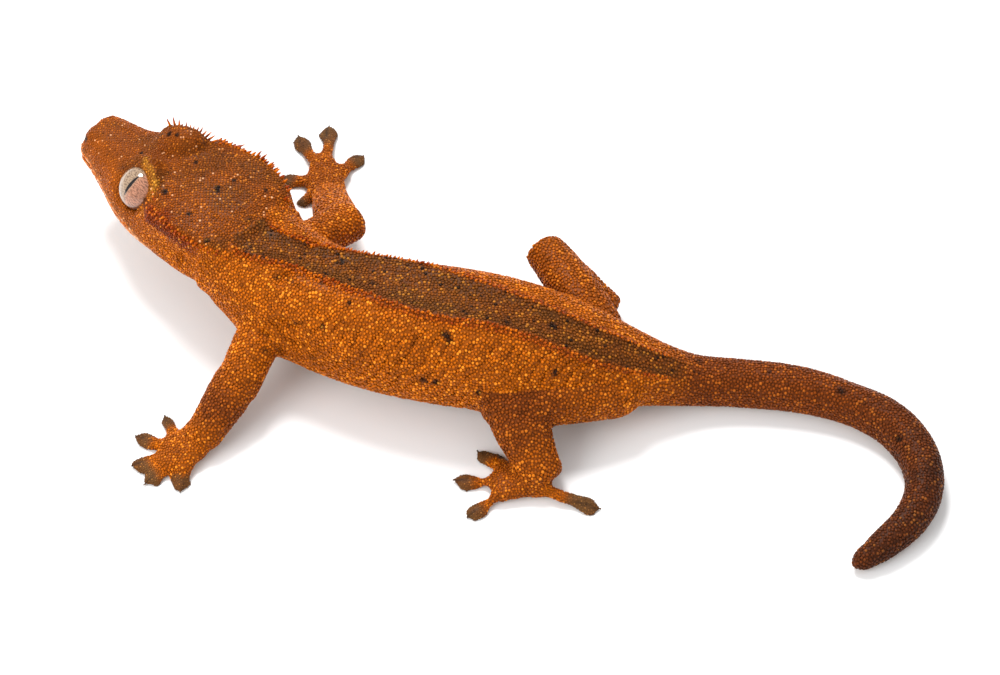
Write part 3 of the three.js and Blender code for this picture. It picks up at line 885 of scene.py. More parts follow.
def mark_trunk(masks, trunk, station, angle, uneven):
    """The brown between the folds, the red along them, and the dark of the tail."""
    left = fold_angle(LEFT_FOLD, station)
    right = fold_angle(RIGHT_FOLD, station)
    edge = angle + 2 * uneven
    between = stretch(edge, right - 2, right + 2, left - 3, left + 1)
    between = between * (1 - 0.18 * bell(angle, (left + right) / 2 + 4 * uneven, 9))
    masks["back"] = trunk * between * (1 - ease(station, 10.4, 12.2))
    along = trunk * stretch(station, 0.5, 2, 9, 11)
    masks["rust"] = 0.75 * along * (bell(angle, left + 2, 3.5) + bell(angle, right - 2, 3.5))
    masks["dark"] = trunk * ease(station + 0.4 * uneven, 9.9, 11.3)
    masks["tail"] = trunk * ease(station, 13, 17)


def mark_head(masks, head, on_head, uneven):
    """The crown, snout and lips, the red cheeks, the gold rims, and painted shade in the pits of eyes and
    nostrils.
    """
    x, y, z = head.T
    edge = crest_height(x)
    over = z - mouth_height(x)
    under = edge - z
    masks["crown"] = on_head * ease(z + 0.3 * uneven, edge - 0.4, edge + 0.5)
    masks["snout"] = on_head * ease(x + uneven, 9, 14) * ease(over, -0.6, 0.2)
    masks["lips"] = on_head * ease(x, 6, 12) * bell(over, 0.5, 0.75)
    cheek = stretch(x, -1, 2, 9.5, 12.5) * (np.abs(y) > 4)
    cheek = on_head * (cheek * np.where(y > 0, 1, 0.3)) * ease(under + 0.4 * uneven, -0.5, 0.1)
    masks["rust"] = np.clip(masks["rust"] + cheek * (1 - ease(under, 1.6, 3.4)), 0, 1)
    rim = hollow_shade = np.zeros(len(head))
    for side in SIDES.values():
        centre = mirrored(EYE_PLACE, side)
        _, reach, opened = round_eye(head, side)
        gold = ease(centre[0] + 1 - x, 0, 1) * ease(z - centre[2], -1, 0.5)
        rim = np.maximum(rim, on_head * (reach < 5) * gold * bell(opened, 73, 5))
        # Painted shade in the pit between each eyeball and its lids, and in each nostril.
        hollow_shade = np.maximum(hollow_shade, on_head * (reach < 3.0) * (1 - ease(opened, 62, 72)))
        nostril = gap_to(head - SNOUT_SHIFT, mirrored(NOSTRIL, side))
        hollow_shade = np.maximum(hollow_shade, on_head * (1 - ease(nostril, 0.3, 0.7)))
    masks["rim"] = rim
    masks["hollow_shade"] = hollow_shade


def mark_limbs(masks, points, names, kinds, uneven):
    """The dark of the legs, a little on the hands and feet, and in patches."""
    leg = np.isin(names, [f"{side}_{part}" for side in SIDES for part in ("thigh", "shank", "foot")])
    dark = np.maximum(np.maximum(masks["dark"], leg * 0.4), (kinds == "hand") * 0.22)
    limb = np.isin(kinds, ["limb", "hand"])
    for centre, radius in DARK_PATCHES:
        gap = gap_to(points, centre) + 1.5 * uneven
        dark = np.maximum(dark, limb * (1 - ease(gap, 0.2 * radius, 1.4 * radius)))
    masks["dark"] = dark


def mark_toes(masks, points, normals, node, uneven):
    """The grey of the pads, and painted shade in the groove down the top of each."""
    masks["pads"] = np.zeros(len(points))
    for index, name in TOES.items():
        here = node == index
        share, across = place_on_toe(points[here], name)
        masks["pads"][here] = ease(share + 0.15 * uneven[here], 0.3, 0.6)
        # Painted shade along the groove down the top of the toe.
        line = ease(share, 0.5, 0.7) * (normals[here, 2] > 0.2) * bell(across, 0, 0.2)
        masks["hollow_shade"][here] = np.maximum(masks["hollow_shade"][here], 0.7 * line)


def spot_mask(points):
    """The black spots, a little ragged at their edges."""
    spots = np.zeros(len(points))
    ragged = 0.15 * ripple(points, 0.7, seed=5)
    for pixel, radius in SPOTS:
        centre = points[((points - FINDER.seen(pixel)) ** 2).sum(1).argmin()]
        gap = gap_to(points, centre) + ragged
        spots = np.maximum(spots, 1 - ease(gap, 0.7 * radius, 1.35 * radius))
    return spots


def mark_skin(mesh):
    """Works out every marking's mask on the skin's points."""
    points = read_points(mesh)
    normals = read_normals(mesh)
    node = FINDER.nearest(points)
    names = np.array(FLESH)[node]
    kinds = np.array([region_of(name) for name in FLESH])[node]
    station, angle, _ = TRUNK.locate(points)
    uneven = ripple(points, 2.2, seed=4)
    masks = {"spots": spot_mask(points)}
    mark_trunk(masks, kinds == "trunk", station, angle, uneven)
    mark_head(masks, body_to_head(points), kinds == "head", uneven)
    mark_limbs(masks, points, names, kinds, uneven)
    # Painted shade in the creases of the armpit.
    masks["hollow_shade"] = np.maximum(masks["hollow_shade"], 0.75 * crease_depth(points) ** 2)
    mark_toes(masks, points, normals, node, uneven)
    masks["belly"] = ease(-normals[:, 2], 0.45, 0.85) * (1 - masks["pads"])
    for name, values in masks.items():
        set_attribute(mesh, name, values)


def paint(graph, settings, shade):
    """The animal's colour from its markings, for the skin and for the scales on it, multiplied by a painted
    shade.
    """
    mask = graph.mask
    base = graph.mix(mask("back"), settings.flank, settings.back)
    base = graph.mix(mask("snout"), base, settings.snout)
    greyer = graph.ramp(graph.noise(0.16, detail=3.0), 0.42, 0.6)
    crown = graph.mix(greyer * 0.6, settings.crown, settings.back)
    base = graph.mix(mask("crown"), base, crown)
    base = graph.mix(mask("rust"), base, settings.rust)
    tail = graph.mix(mask("tail"), settings.dark, settings.tail)
    base = graph.mix(mask("dark"), base, tail)
    base = graph.mix(mask("pads"), base, settings.pads)
    base = graph.mix(mask("belly") * 0.6, base, settings.belly)
    base = graph.mix(mask("lips") * 0.75, base, settings.lips)
    base = graph.mix(mask("rim") * 0.55, base, settings.gold)
    clouds = graph.ramp(graph.noise(0.3, detail=5.0, roughness=0.6), 0.3, 0.7)
    base = graph.mix((1.0 - clouds) * 0.38, base, settings.dark)
    fleck = graph.ramp(graph.noise(1.3, detail=1.0), 0.76, 0.8)
    base = graph.mix(fleck * 0.6, base, settings.spots)
    # Painted shade: the colour is multiplied by the shade given.
    light = graph.node("ShaderNodeCombineColor", inputs={"Red": shade, "Green": shade, "Blue": shade})
    base = graph.mix(1.0, base, light, "MULTIPLY")
    # The black spots, and the painted shade of the hollows in the same black.
    return graph.mix((mask("spots") + mask("hollow_shade")).clamped() * 0.95, base, settings.spots)


def skin_material(settings):
    graph = Finish("gecko_skin", roughness=0.5)
    grain = graph.noise(3.0, detail=3.0)
    bump = graph.node("ShaderNodeBump", inputs={"Strength": 0.5, "Distance": 0.1 * MM, "Height": grain})
    plug(graph.tree, graph.shader["Normal"], bump)
    # Painted shade: the skin, which shows between the scales, is painted at half brightness.
    return graph.coloured(paint(graph, settings, shade=0.5))


class MarkSkin(bpy.types.Operator):
    """Lays the markings on the skin and gives it its finish"""

    bl_idname = "gecko.mark_skin"
    bl_label = "Mark skin"

    def execute(self, context):
        skin = bpy.data.objects["skin"]
        mark_skin(skin.data)
        skin.data.materials.append(skin_material(context.scene.gecko_markings))
        return {"FINISHED"}


# Eyes

class EyeSettings(bpy.types.PropertyGroup):
    iris: tone("Iris", "Greyish tan of the iris", 0xA0866C)
    blush: tone("Blush", "Pinkish tan of the iris's rear half", 0xB47C60)
    veins: tone("Veins", "Brown of the iris's veins", 0x2E140A)
    rim: measure("Rim", "Where the eye's front begins, over its centre, mm", 1.4)
    bulge: measure("Bulge", "Height of the front over a ball's", 0.86)
    pupil_width: measure("Pupil width", "Half width of the slit, mm", 0.25)
    pupil_length: measure("Pupil length", "Half length of the slit, mm", 2.0)


# The pupil's two ends, seen from the eye's centre: heading from the snout to the left, and rise, degrees.
PUPIL_ENDS = [(185, 80), (83, 16)]


def head_direction(heading, rise):
    """A direction in the head's frame."""
    turn, lift = math.radians(heading), math.radians(rise)
    return np.array([math.cos(lift) * math.cos(turn), math.cos(lift) * math.sin(turn), math.sin(lift)])


def eye_material(settings):
    graph = Finish("gecko_eye", roughness=0.08, coat=0.6, shine=0.3)
    graph.shader["Coat Roughness"].default_value = 0.03
    across = graph.mask("across")
    along = graph.mask("along")
    ragged = (graph.noise(2.5) - 0.5) * 0.12
    length = settings.pupil_length
    taper = (1.0 - (along / length) ** 2.0).maths("MAXIMUM", 0.0)
    edge = taper * settings.pupil_width + ragged * taper
    slit = graph.ramp(edge - across.maths("ABSOLUTE"), -0.02, 0.03)
    radius = (across * across + along * along) ** 0.5
    base = graph.mix(graph.ramp(across, -0.4, 0.8), settings.iris, settings.blush)
    streaks = graph.node("ShaderNodeCombineXYZ", inputs={"X": across * (1.1 * MM), "Y": along * (3.2 * MM)})
    vein = graph.ramp(graph.noise(1.9, detail=5.0, roughness=0.7, over=streaks), 0.46, 0.58)
    base = graph.mix(vein * 0.7, base, settings.veins)
    base = graph.mix(graph.ramp(radius, 2.6, 3.0) * 0.7, base, settings.veins)
    return graph.coloured(graph.mix(slit, base, (0.004, 0.003, 0.003, 1)))


class MakeEyes(bpy.types.Operator):
    """Makes both eyeballs, glossy, with a slit pupil and a veined iris"""

    bl_idname = "gecko.make_eyes"
    bl_label = "Make eyes"

    def execute(self, context):
        settings = context.scene.gecko_eyes
        material = eye_material(settings)
        for name, side in SIDES.items():
            ball = add_form("uv_sphere", f"eyeball_{name}", segments=64, ring_count=40, radius=EYE_RADIUS)
            local = read(ball.data.vertices, "co")
            proud = local[:, 2] > settings.rim
            local[proud, 2] = settings.rim + (local[proud, 2] - settings.rim) * settings.bulge
            _, forward, out = eye_axes(side)
            turned = local @ np.array([forward, np.cross(out, forward), out])
            ends = np.array([head_direction(*end) for end in PUPIL_ENDS]) * [1, side, 1]
            across_axis = np.cross(ends[0], ends[1]) * side
            across_axis /= np.linalg.norm(across_axis)
            middle = ends.sum(0) / np.linalg.norm(ends.sum(0))
            ball.data.vertices.foreach_set("co", local.ravel())
            set_attribute(ball.data, "across", turned @ across_axis)
            set_attribute(ball.data, "along", turned @ np.cross(across_axis, middle))
            ball.data.transform(eye_matrix(side))
            select_only(ball)
            bpy.ops.object.shade_smooth()
            ball.data.materials.append(material)
            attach(ball, "root")
            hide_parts(f"eye_{name}")
        return {"FINISHED"}


# Scales

class ScaleSettings(bpy.types.PropertyGroup):
    spacing: measure("Spacing", "Between scales on the body, mm", 0.34)
    size: measure("Size", "A scale's radius over the spacing", 0.74)
    height: measure("Height", "A scale's height over its radius", 0.7)
    seed: IntProperty(name="Seed", description="Seed of every random draw of the scales", default=7)


# The coat's pieces, each with its spacing over the body's.
COATS = {
    "scales_head": 0.9, "scales_neck": 1.05, "scales_left_flank": 1.12, "scales_right_flank": 1.12,
    "scales_belly": 1.4, "scales_tail": 1.1, "scales_arms": 1.1, "scales_legs": 1.15, "scales_hands": 0.95,
    "scales_toes": 0.78,
}
# The angles round the torso that bound the belly's piece, and that parts the flanks' pieces.
BELLY_EDGES = (-35, 215)
FLANK_SEAM = 80
# How much smaller the scales are under each marking, and in the hollows painted with shade.
SMALLER = {"hollow_shade": 1, "lips": 0.7, "snout": 0.25, "pads": 0.35}


def coat_of(name, angle):
    """The coat piece that covers a solid, at an angle round the trunk."""
    if name in ("head", "neck"):
        return f"scales_{name}"
    if name == "torso":
        if not BELLY_EDGES[0] < angle < BELLY_EDGES[1]:
            return "scales_belly"
        return "scales_left_flank" if angle > FLANK_SEAM else "scales_right_flank"
    if name.startswith("tail"):
        return "scales_tail"
    kind = region_of(name)
    if kind == "limb":
        return "scales_arms" if name.endswith("arm") else "scales_legs"
    return "scales_toes" if kind == "toe" else "scales_hands"


def close_form():
    """Draws the selected end of a form together to a point, and turns its faces outwards."""
    bpy.ops.mesh.merge(type="CENTER")
    bpy.ops.mesh.select_all(action="SELECT")
    bpy.ops.mesh.normals_make_consistent(inside=False)


def model_granule(height):
    """A low bead of five sides, radius 1, with a pointed top."""
    granule = add_form("circle", vertices=5, radius=1, fill_type="NGON", location=(0, 0, 0))
    with editing(granule):
        bpy.ops.mesh.extrude_region_move(TRANSFORM_OT_translate={"value": (0, 0, 0.72 * height)})
        bpy.ops.transform.resize(value=(0.66, 0.66, 1))
        bpy.ops.mesh.inset(thickness=0.3)
        close_form()
    for vertex in granule.data.vertices:
        if vertex.co.xy.length < 0.01:
            vertex.co.z = height
    bpy.ops.object.shade_smooth()
    points = read(granule.data.vertices, "co")
    set_attribute(granule.data, "patch", points * [0.5, 0.5, 0], "FLOAT_VECTOR")
    # Each point's share of the scale's height, by which the colour paints shade at the foot and highlights
    # on the top.
    set_attribute(granule.data, "top", np.maximum(points[:, 2], 0) / height)
    return granule


class Scatter(Graph):
    """A geometry tree under construction."""

    def named(self, name):
        return self.node("GeometryNodeInputNamedAttribute", {"data_type": "FLOAT"}, {"Name": name})

    def store(self, geometry, name, value, kind, domain):
        settings = {"data_type": kind, "domain": domain}
        inputs = {"Geometry": geometry, "Name": name, "Value": value}
        return self.node("GeometryNodeStoreNamedAttribute", settings, inputs)

    def chance(self, low, high, seed):
        inputs = {2: low, 3: high, "Seed": seed}
        return self.node("FunctionNodeRandomValue", {"data_type": "FLOAT"}, inputs, output=1)


def scatter_tree(name, granule, coat, spacing, size, seed):
    """Points a set distance apart on the faces of one coat, each with a granule stood on it."""
    tree = bpy.data.node_groups.new(name, "GeometryNodeTree")
    for way in ("INPUT", "OUTPUT"):
        tree.interface.new_socket("Geometry", in_out=way, socket_type="NodeSocketGeometry")
    graph = Scatter(tree)
    chosen = graph.node("FunctionNodeCompare", {"data_type": "FLOAT", "operation": "EQUAL"},
                        {0: graph.named("coat"), 1: float(coat), 12: 0.1})
    part = graph.node("GeometryNodeSeparateGeometry", {"domain": "FACE"},
                      {"Geometry": graph.node("NodeGroupInput"), "Selection": chosen})
    scattered = graph.node("GeometryNodeDistributePointsOnFaces", {"distribute_method": "POISSON"},
                           {"Mesh": part, "Distance Min": spacing * MM,
                            "Density Max": 4 / (spacing * MM) ** 2, "Seed": seed})
    turned = Wire(tree, scattered.socket.node.outputs["Rotation"])
    where = graph.node("GeometryNodeInputPosition")
    rooted = graph.store(scattered, "root", where, "FLOAT_VECTOR", "POINT")
    bead = graph.node("GeometryNodeObjectInfo", {"transform_space": "ORIGINAL"}, {"Object": granule},
                      output="Geometry")
    spin = graph.node("FunctionNodeRandomValue", {"data_type": "FLOAT_VECTOR"},
                      {0: (-0.12, -0.12, 0.0), 1: (0.12, 0.12, 6.28), "Seed": seed + 1})
    tilt = graph.node("FunctionNodeRotateRotation", {"rotation_space": "LOCAL"},
                      {"Rotation": turned, "Rotate By": spin})
    scale = graph.chance(0.8, 1.12, seed + 2) * (size * spacing * MM) * graph.named("granule")
    stood = graph.node("GeometryNodeInstanceOnPoints", None,
                       {"Points": rooted, "Instance": bead, "Rotation": tilt, "Scale": scale})
    tinted = graph.store(stood, "tint", graph.chance(0.0, 1.0, seed + 3), "FLOAT", "INSTANCE")
    whole = graph.node("GeometryNodeRealizeInstances", None, {"Geometry": tinted})
    plug(tree, tree.nodes.new("NodeGroupOutput").inputs[0], whole)
    return tree


def unwrap(points):
    """Each place on an unwrap of the skin: round and along its own solid, each solid in its own cell."""
    node = FINDER.nearest(points)
    station, angle, _ = TRUNK.locate(points)
    cells = math.ceil(math.sqrt(len(FLESH)))
    flat = np.empty((len(points), 2))
    for index, name in enumerate(FLESH):
        here = node == index
        solid = read_points(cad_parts[name].data)
        if region_of(name) == "trunk":
            along, turn = station[here], (angle[here] + 90) / 360
            ends = TRUNK.locate(solid)[0]
        else:
            middle = solid.mean(0)
            axes = np.linalg.svd(solid - middle, full_matrices=False)[2]
            local = (points[here] - middle) @ axes.T
            along, turn = local[:, 0], np.arctan2(local[:, 2], local[:, 1]) / (2 * math.pi) + 0.5
            ends = (solid - middle) @ axes[0]
        along = np.clip((along - ends.min()) / np.ptp(ends), 0, 1)
        cell = np.array([index % cells, index // cells])
        flat[here] = (cell + 0.04 + 0.92 * np.column_stack([along, turn])) / cells
    return flat


def finish_coat(coat, material):
    """Gives each scale its small patch of the bake map, at its root's place on the skin's unwrap."""
    mesh = coat.data
    roots = get_attribute(mesh, "root", 3) / MM - ORIGIN
    patch = get_attribute(mesh, "patch", 3)[:, :2]
    firsts = np.flatnonzero(np.any(np.diff(roots, axis=0, prepend=roots[:1] - 1) != 0, axis=1))
    group = np.searchsorted(firsts, np.arange(len(roots)), side="right") - 1
    while mesh.uv_layers:
        mesh.uv_layers.remove(mesh.uv_layers[0])
    lay_bake_map(mesh, unwrap(roots[firsts])[group] + patch * PATCH)
    for name in ("root", "patch", "coat", "granule"):
        mesh.attributes.remove(mesh.attributes[name])
    mesh.materials.clear()
    mesh.materials.append(material)
    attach(coat, "root")


def scale_material(settings):
    graph = Finish("gecko_scales", roughness=0.34, shine=0.09)
    tint, top, back, pads = (graph.mask(name) for name in ("tint", "top", "back", "pads"))
    head = (graph.mask("crown") + graph.mask("snout")).clamped()
    # The glinting scales: a random few that get painted highlights.
    glint = graph.ramp(tint, 0.78, 1.0)
    # Painted shade and light: darker at each scale's foot and lighter on its top, a random brightness for
    # each scale, and a painted highlight on the glinting few.
    shade = (0.38 + 0.72 * top) * (0.66 + 0.56 * tint) + glint * 0.4
    base = paint(graph, settings, shade)
    # Painted highlight: pale glints on the tops of a few scales of the crown and snout.
    spark = graph.ramp(graph.noise(0.9), 0.5, 0.6) * graph.ramp(tint, 0.93, 0.96) * head
    base = graph.mix(spark * top * 0.6, base, settings.glints)
    speck = graph.ramp(tint, 0.04, 0.02) * (0.35 + 0.65 * back) * (1.0 - pads)
    base = graph.mix(speck.clamped() * 0.92, base, settings.spots)
    # Painted highlight: gold on the tops of the glinting scales, most on the plain flanks.
    plain = (1.0 - pads) * (1.0 - graph.mask("dark")) * (1.0 - back * 0.6) * (1.0 - head * 0.75)
    return graph.coloured(graph.mix(glint * top * (0.12 + 0.4 * plain), base, settings.gold))


class GrowScales(bpy.types.Operator):
    """Covers the skin with granular scales, in one piece for each part of the body"""

    bl_idname = "gecko.grow_scales"
    bl_label = "Grow scales"

    def execute(self, context):
        settings = context.scene.gecko_scales
        skin = bpy.data.objects["skin"]
        material = scale_material(context.scene.gecko_markings)
        granule = model_granule(settings.height)
        centres = face_centres(skin.data)
        angle = TRUNK.locate(centres)[1]
        order = list(COATS)
        coats = [order.index(coat_of(FLESH[i], a)) for i, a in zip(FINDER.nearest(centres), angle)]
        set_attribute(skin.data, "coat", coats, domain="FACE")
        small = np.max([share * get_attribute(skin.data, name) for name, share in SMALLER.items()], axis=0)
        set_attribute(skin.data, "granule", 1 - 0.8 * small + 0.3 * get_attribute(skin.data, "rim"))
        for index, (name, share) in enumerate(COATS.items()):
            coat = add_object(name, skin.data.copy())
            tree = scatter_tree(name, granule, index, settings.spacing * share, settings.size, settings.seed)
            apply_modifier(coat, "NODES", node_group=tree)
            finish_coat(coat, material)
        bpy.data.objects.remove(granule)
        return {"FINISHED"}


# Crest, lips and claws: one small form modelled once and stamped on the skin

def stamp(name, pattern, places, material):
    """One mesh of many copies of a pattern mesh, each put in place by a matrix in body millimetres."""
    count = len(pattern.data.vertices)
    base = np.column_stack([read(pattern.data.vertices, "co"), np.ones(count)])
    corners, faces, roots = [], [], []
    for index, matrix in enumerate(places):
        corners.append((base @ np.array(matrix).T)[:, :3])
        faces += [[index * count + v for v in polygon.vertices] for polygon in pattern.data.polygons]
        roots += [matrix.translation] * count
    mesh = bpy.data.meshes.new(name)
    mesh.from_pydata(place(np.vstack(corners)).tolist(), [], faces)
    piece = add_object(name, mesh)
    lay_bake_map(mesh, unwrap(np.array(roots)) + np.tile(base[:, :2], (len(places), 1)) / 2 * PATCH)
    select_only(piece)
    bpy.ops.object.shade_smooth()
    mesh.materials.append(material)
    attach(piece, "root")
    bpy.data.objects.remove(pattern)
    return piece


def stand(root, aim, lean, width, length):
    """A matrix that stands a form at a root: its Z along aim, its X towards lean."""
    up = Vector(aim).normalized()
    ahead = Vector(lean) - up * Vector(lean).dot(up)
    ahead.normalize()
    turn = Matrix((ahead, up.cross(ahead), up)).transposed()
    shape = turn @ Matrix.Diagonal((width, width, length))
    return Matrix.Translation(Vector(root)) @ shape.to_4x4()


def model_spine(bend=0.35):
    """A tapered, slightly hooked spine: radius 1 at its root, 1 long, its tip bent towards X."""
    form = add_form("circle", vertices=6, radius=1, fill_type="NGON", location=(0, 0, -0.4))
    with editing(form):
        for rise, width, shift in ((0.55, 0.82, 0.0), (0.4, 0.66, 0.3), (0.3, 0.5, 0.5)):
            bpy.ops.mesh.extrude_region_move(TRANSFORM_OT_translate={"value": (shift * bend, 0, rise)})
            bpy.ops.transform.resize(value=(width, width, 1))
        bpy.ops.mesh.extrude_region_move(TRANSFORM_OT_translate={"value": (bend, 0, 0.15)})
        close_form()
    return form


class Surface:
    """The finished skin, to plant things on."""

    def __init__(self):
        mesh = bpy.data.objects["skin"].data
        mesh.calc_loop_triangles()
        faces = read(mesh.loop_triangles, "vertices", 3, int)
        self.tree = BVHTree.FromPolygons(read_points(mesh).tolist(), faces.tolist())

    def nearest(self, point):
        """The nearest place on the skin and its outward direction."""
        met, normal = self.tree.find_nearest(Vector(point))[:2]
        return np.array(met), np.array(normal)

    def outward(self, start, direction):
        """Where a ray from inside leaves the skin."""
        direction = Vector(direction).normalized()
        origin = Vector(start) + direction * 25
        hit, normal = self.tree.ray_cast(origin, -direction)[:2]
        if hit is None:
            raise RuntimeError(f"no skin lies out from {tuple(start)}")
        return np.array(hit), np.array(normal)


class CrestSettings(bpy.types.PropertyGroup):
    lash_length: measure("Lash length", "Spines over the eyes, mm", 0.95)
    fringe_length: measure("Fringe length", "Spines of the head's fringe, mm", 0.95)
    row_length: measure("Row length", "Spines along the back, mm", 0.4)
    width: measure("Width", "Radius of a spine's root, mm", 0.24)
    row_spacing: measure("Row spacing", "Between the spines of a row, mm", 0.62)


# The middle of the right brow, in the head's frame, and the first and last lash of the fan that stands
# round it: degrees in the plane of the picture, 0 to the right and 90 up.
BROW_HEART = (13.2, -3, 4.4)
LASH_FAN = (118, 8)
LASHES = 15


def lash_places(surface, settings, draw):
    """A fan of spines round each brow, short over the left eye."""
    places = []
    for side in SIDES.values():
        flip = np.array([1, -side, 1])
        heart = head_to_body([BROW_HEART * flip])[0]
        for turn in np.radians(np.linspace(*LASH_FAN, LASHES)):
            aim = np.array([math.cos(turn), 0, 0]) + math.sin(turn) * CAMERA_UP
            aim = HEAD_TURN @ (aim @ HEAD_TURN * flip)
            root, normal = surface.outward(heart, aim)
            if side > 0 and np.linalg.norm(body_to_head(root) - eye_axes(side)[0]) < EYE_RADIUS + 1:
                continue
            aim = aim + 0.1 * normal + draw.normal(0, 0.08, 3)
            length = settings.lash_length * draw.uniform(0.85, 1.15) * (0.3 if side > 0 else 1)
            places.append(stand(root, aim, normal, settings.width * 0.85, length))
    return places


# The spines in the fringe's upper and lower row on each side, and the stations where the back's rows end.
FRINGE_COUNTS = (22, 20)
ROW_ENDS = (1.5, 10.4)


def fringe_places(surface, settings, draw):
    """Two staggered rows of spines along the edge of the crown."""
    places = []
    xs = [x for x, _ in FRINGE]
    for side in SIDES.values():
        for row, count in enumerate(FRINGE_COUNTS):
            for share in np.linspace(0, 1, count):
                x = xs[0] + (xs[-1] - xs[0]) * share + draw.uniform(-0.2, 0.2)
                z = crest_height(x) - 0.45 * row
                start = head_to_body([(x, 0, z)])[0]
                root, normal = surface.outward(start, HEAD_TURN @ np.array([0, side, 0]))
                lean = HEAD_TURN @ np.array([-0.45 * share - 0.1, side, 0.55])
                aim = lean + draw.normal(0, 0.1, 3)
                length = settings.fringe_length * draw.uniform(0.45, 1.05) * (1 - 0.45 * row)
                length *= (0.65 + 0.5 * bell(x, 1.5, 4)) * (0.6 if side > 0 else 1)
                places.append(stand(root, aim, HEAD_TURN @ np.array([-1.0, 0, 0.2]), settings.width, length))
    return places


def row_places(surface, settings, draw):
    """Small spines along both folds, from the nape to the hips."""
    places = []
    for fold, sign in ((LEFT_FOLD, -1), (RIGHT_FOLD, 1)):
        reach = np.flatnonzero((TRUNK.stations > ROW_ENDS[0]) & (TRUNK.stations < ROW_ENDS[1]))
        travelled = np.cumsum(1 / TRUNK.STEPS * TRUNK.pace[reach])
        for step in np.arange(0, travelled[-1], settings.row_spacing):
            index = reach[min(np.searchsorted(travelled, step), len(reach) - 1)]
            station = TRUNK.stations[index]
            for offset in (0, 4.5):
                turn = math.radians(fold_angle(fold, station) - sign * offset + draw.uniform(-1.2, 1.2))
                direction = TRUNK.side[index] * math.cos(turn) + TRUNK.up[index] * math.sin(turn)
                root, normal = surface.outward(TRUNK.middle[index], direction)
                aim = normal + 0.35 * TRUNK.ahead[index] + draw.normal(0, 0.1, 3)
                fade = 1 - 0.55 * ease(station, 4, 10)
                length = settings.row_length * draw.uniform(0.7, 1.3) * fade * (1 if offset == 0 else 0.7)
                places.append(stand(root, aim, TRUNK.ahead[index], settings.width * 0.9, length))
    return places


def crest_material(settings):
    graph = Finish("crest_spines", roughness=0.4)
    mottled = graph.ramp(graph.noise(1.4), 0.4, 0.62)
    return graph.coloured(graph.mix(mottled, settings.rust, settings.flank))


CREST = {"lashes": lash_places, "crest_fringe": fringe_places, "back_rows": row_places}
CREST_SEED = 11


class RaiseCrest(bpy.types.Operator):
    """Stands the lashes, the head's fringe and the rows of the back on the skin"""

    bl_idname = "gecko.raise_crest"
    bl_label = "Raise crest"

    def execute(self, context):
        settings = context.scene.gecko_crest
        material = crest_material(context.scene.gecko_markings)
        surface = Surface()
        draw = np.random.default_rng(CREST_SEED)
        for name, plan in CREST.items():
            piece = stamp(name, model_spine(), plan(surface, settings, draw), material)
        return {"FINISHED"}


class MouthSettings(bpy.types.PropertyGroup):
    scale_length: measure("Lip scale length", "Along the lip, mm", 1.25)
    scale_height: measure("Lip scale height", "Across the lip, mm", 0.62)
    scale_rise: measure("Lip scale rise", "Out of the skin, mm", 0.11)


def model_plate():
    """A rounded plate, one long, one high and one thick."""
    form = add_form("cube", size=1)
    with editing(form):
        bpy.ops.mesh.bevel(offset=0.3, segments=2, affect="EDGES")
    return form


def lip_material(settings):
    graph = Finish("lip_scales", roughness=0.3)
    blotch = graph.ramp(graph.noise(0.7, detail=4.0), 0.36, 0.62)
    base = graph.mix(blotch, settings.lips, settings.snout)
    # Painted highlight: pale glints over the lip scales.
    pale = graph.ramp(graph.noise(1.3), 0.58, 0.68)
    return graph.coloured(graph.mix(pale * 0.8, base, settings.glints))


# Where the lips turn from the jaw round the snout, as x in the head's frame, and how high the middle of
# each row of lip scales lies over the mouth's line.
LIP_BEND = 28.3
LIP_ROWS = (0.62, -0.6)


def lip_places(surface, settings):
    """Where the lip scales lie: the upper row over the mouth's line, and the lower under it."""
    places = []
    bend = np.linspace(0, math.pi / 2, 30)
    path = [(x, 4.5) for x in np.arange(11, 28.5, 0.25)]
    path = np.array(path + [(28.5 + 3 * math.sin(a), 4.5 * math.cos(a)) for a in bend])
    for row in LIP_ROWS:
        taper = 1 if row > 0 else 0.85
        shape = (settings.scale_length, settings.scale_height * taper, settings.scale_rise * 2, 1)
        for side in SIDES.values():
            last = None
            for x, y in path:
                start = head_to_body([(min(x, LIP_BEND), 0, mouth_height(min(x, HEAD_LENGTH)) + row)])[0]
                direction = np.array([max(x - LIP_BEND, 0), side * y, 0])
                root, normal = surface.outward(start, HEAD_TURN @ direction)
                if last is None:
                    ahead = HEAD_TURN @ np.array([1, 0, 0])
                elif np.linalg.norm(root - last) < settings.scale_length * 0.94:
                    continue
                else:
                    ahead = root - last
                last = root
                places.append(stand(root, normal, ahead, 1, 1) @ Matrix.Diagonal(shape))
    return places


class LineLips(bpy.types.Operator):
    """Lays the row of larger scales along the upper and the lower lip"""

    bl_idname = "gecko.line_lips"
    bl_label = "Line lips"

    def execute(self, context):
        settings = context.scene.gecko_mouth
        material = lip_material(context.scene.gecko_markings)
        piece = stamp("lip_scales", model_plate(), lip_places(Surface(), settings), material)
        return {"FINISHED"}


class ClawSettings(bpy.types.PropertyGroup):
    length: measure("Length", "Of a claw, mm", 0.16)
    width: measure("Width", "Radius of a claw's root, mm", 0.14)
    horn: tone("Horn", "Dark of the claws", 0x3A2A20)
    pale_horn: tone("Pale horn", "Pale streaks of the claws", 0x6E543E)


def claw_material(settings):
    graph = Finish("claws", roughness=0.3, coat=0.3)
    streak = graph.ramp(graph.noise(2.0), 0.35, 0.65)
    return graph.coloured(graph.mix(streak, settings.horn, settings.pale_horn))


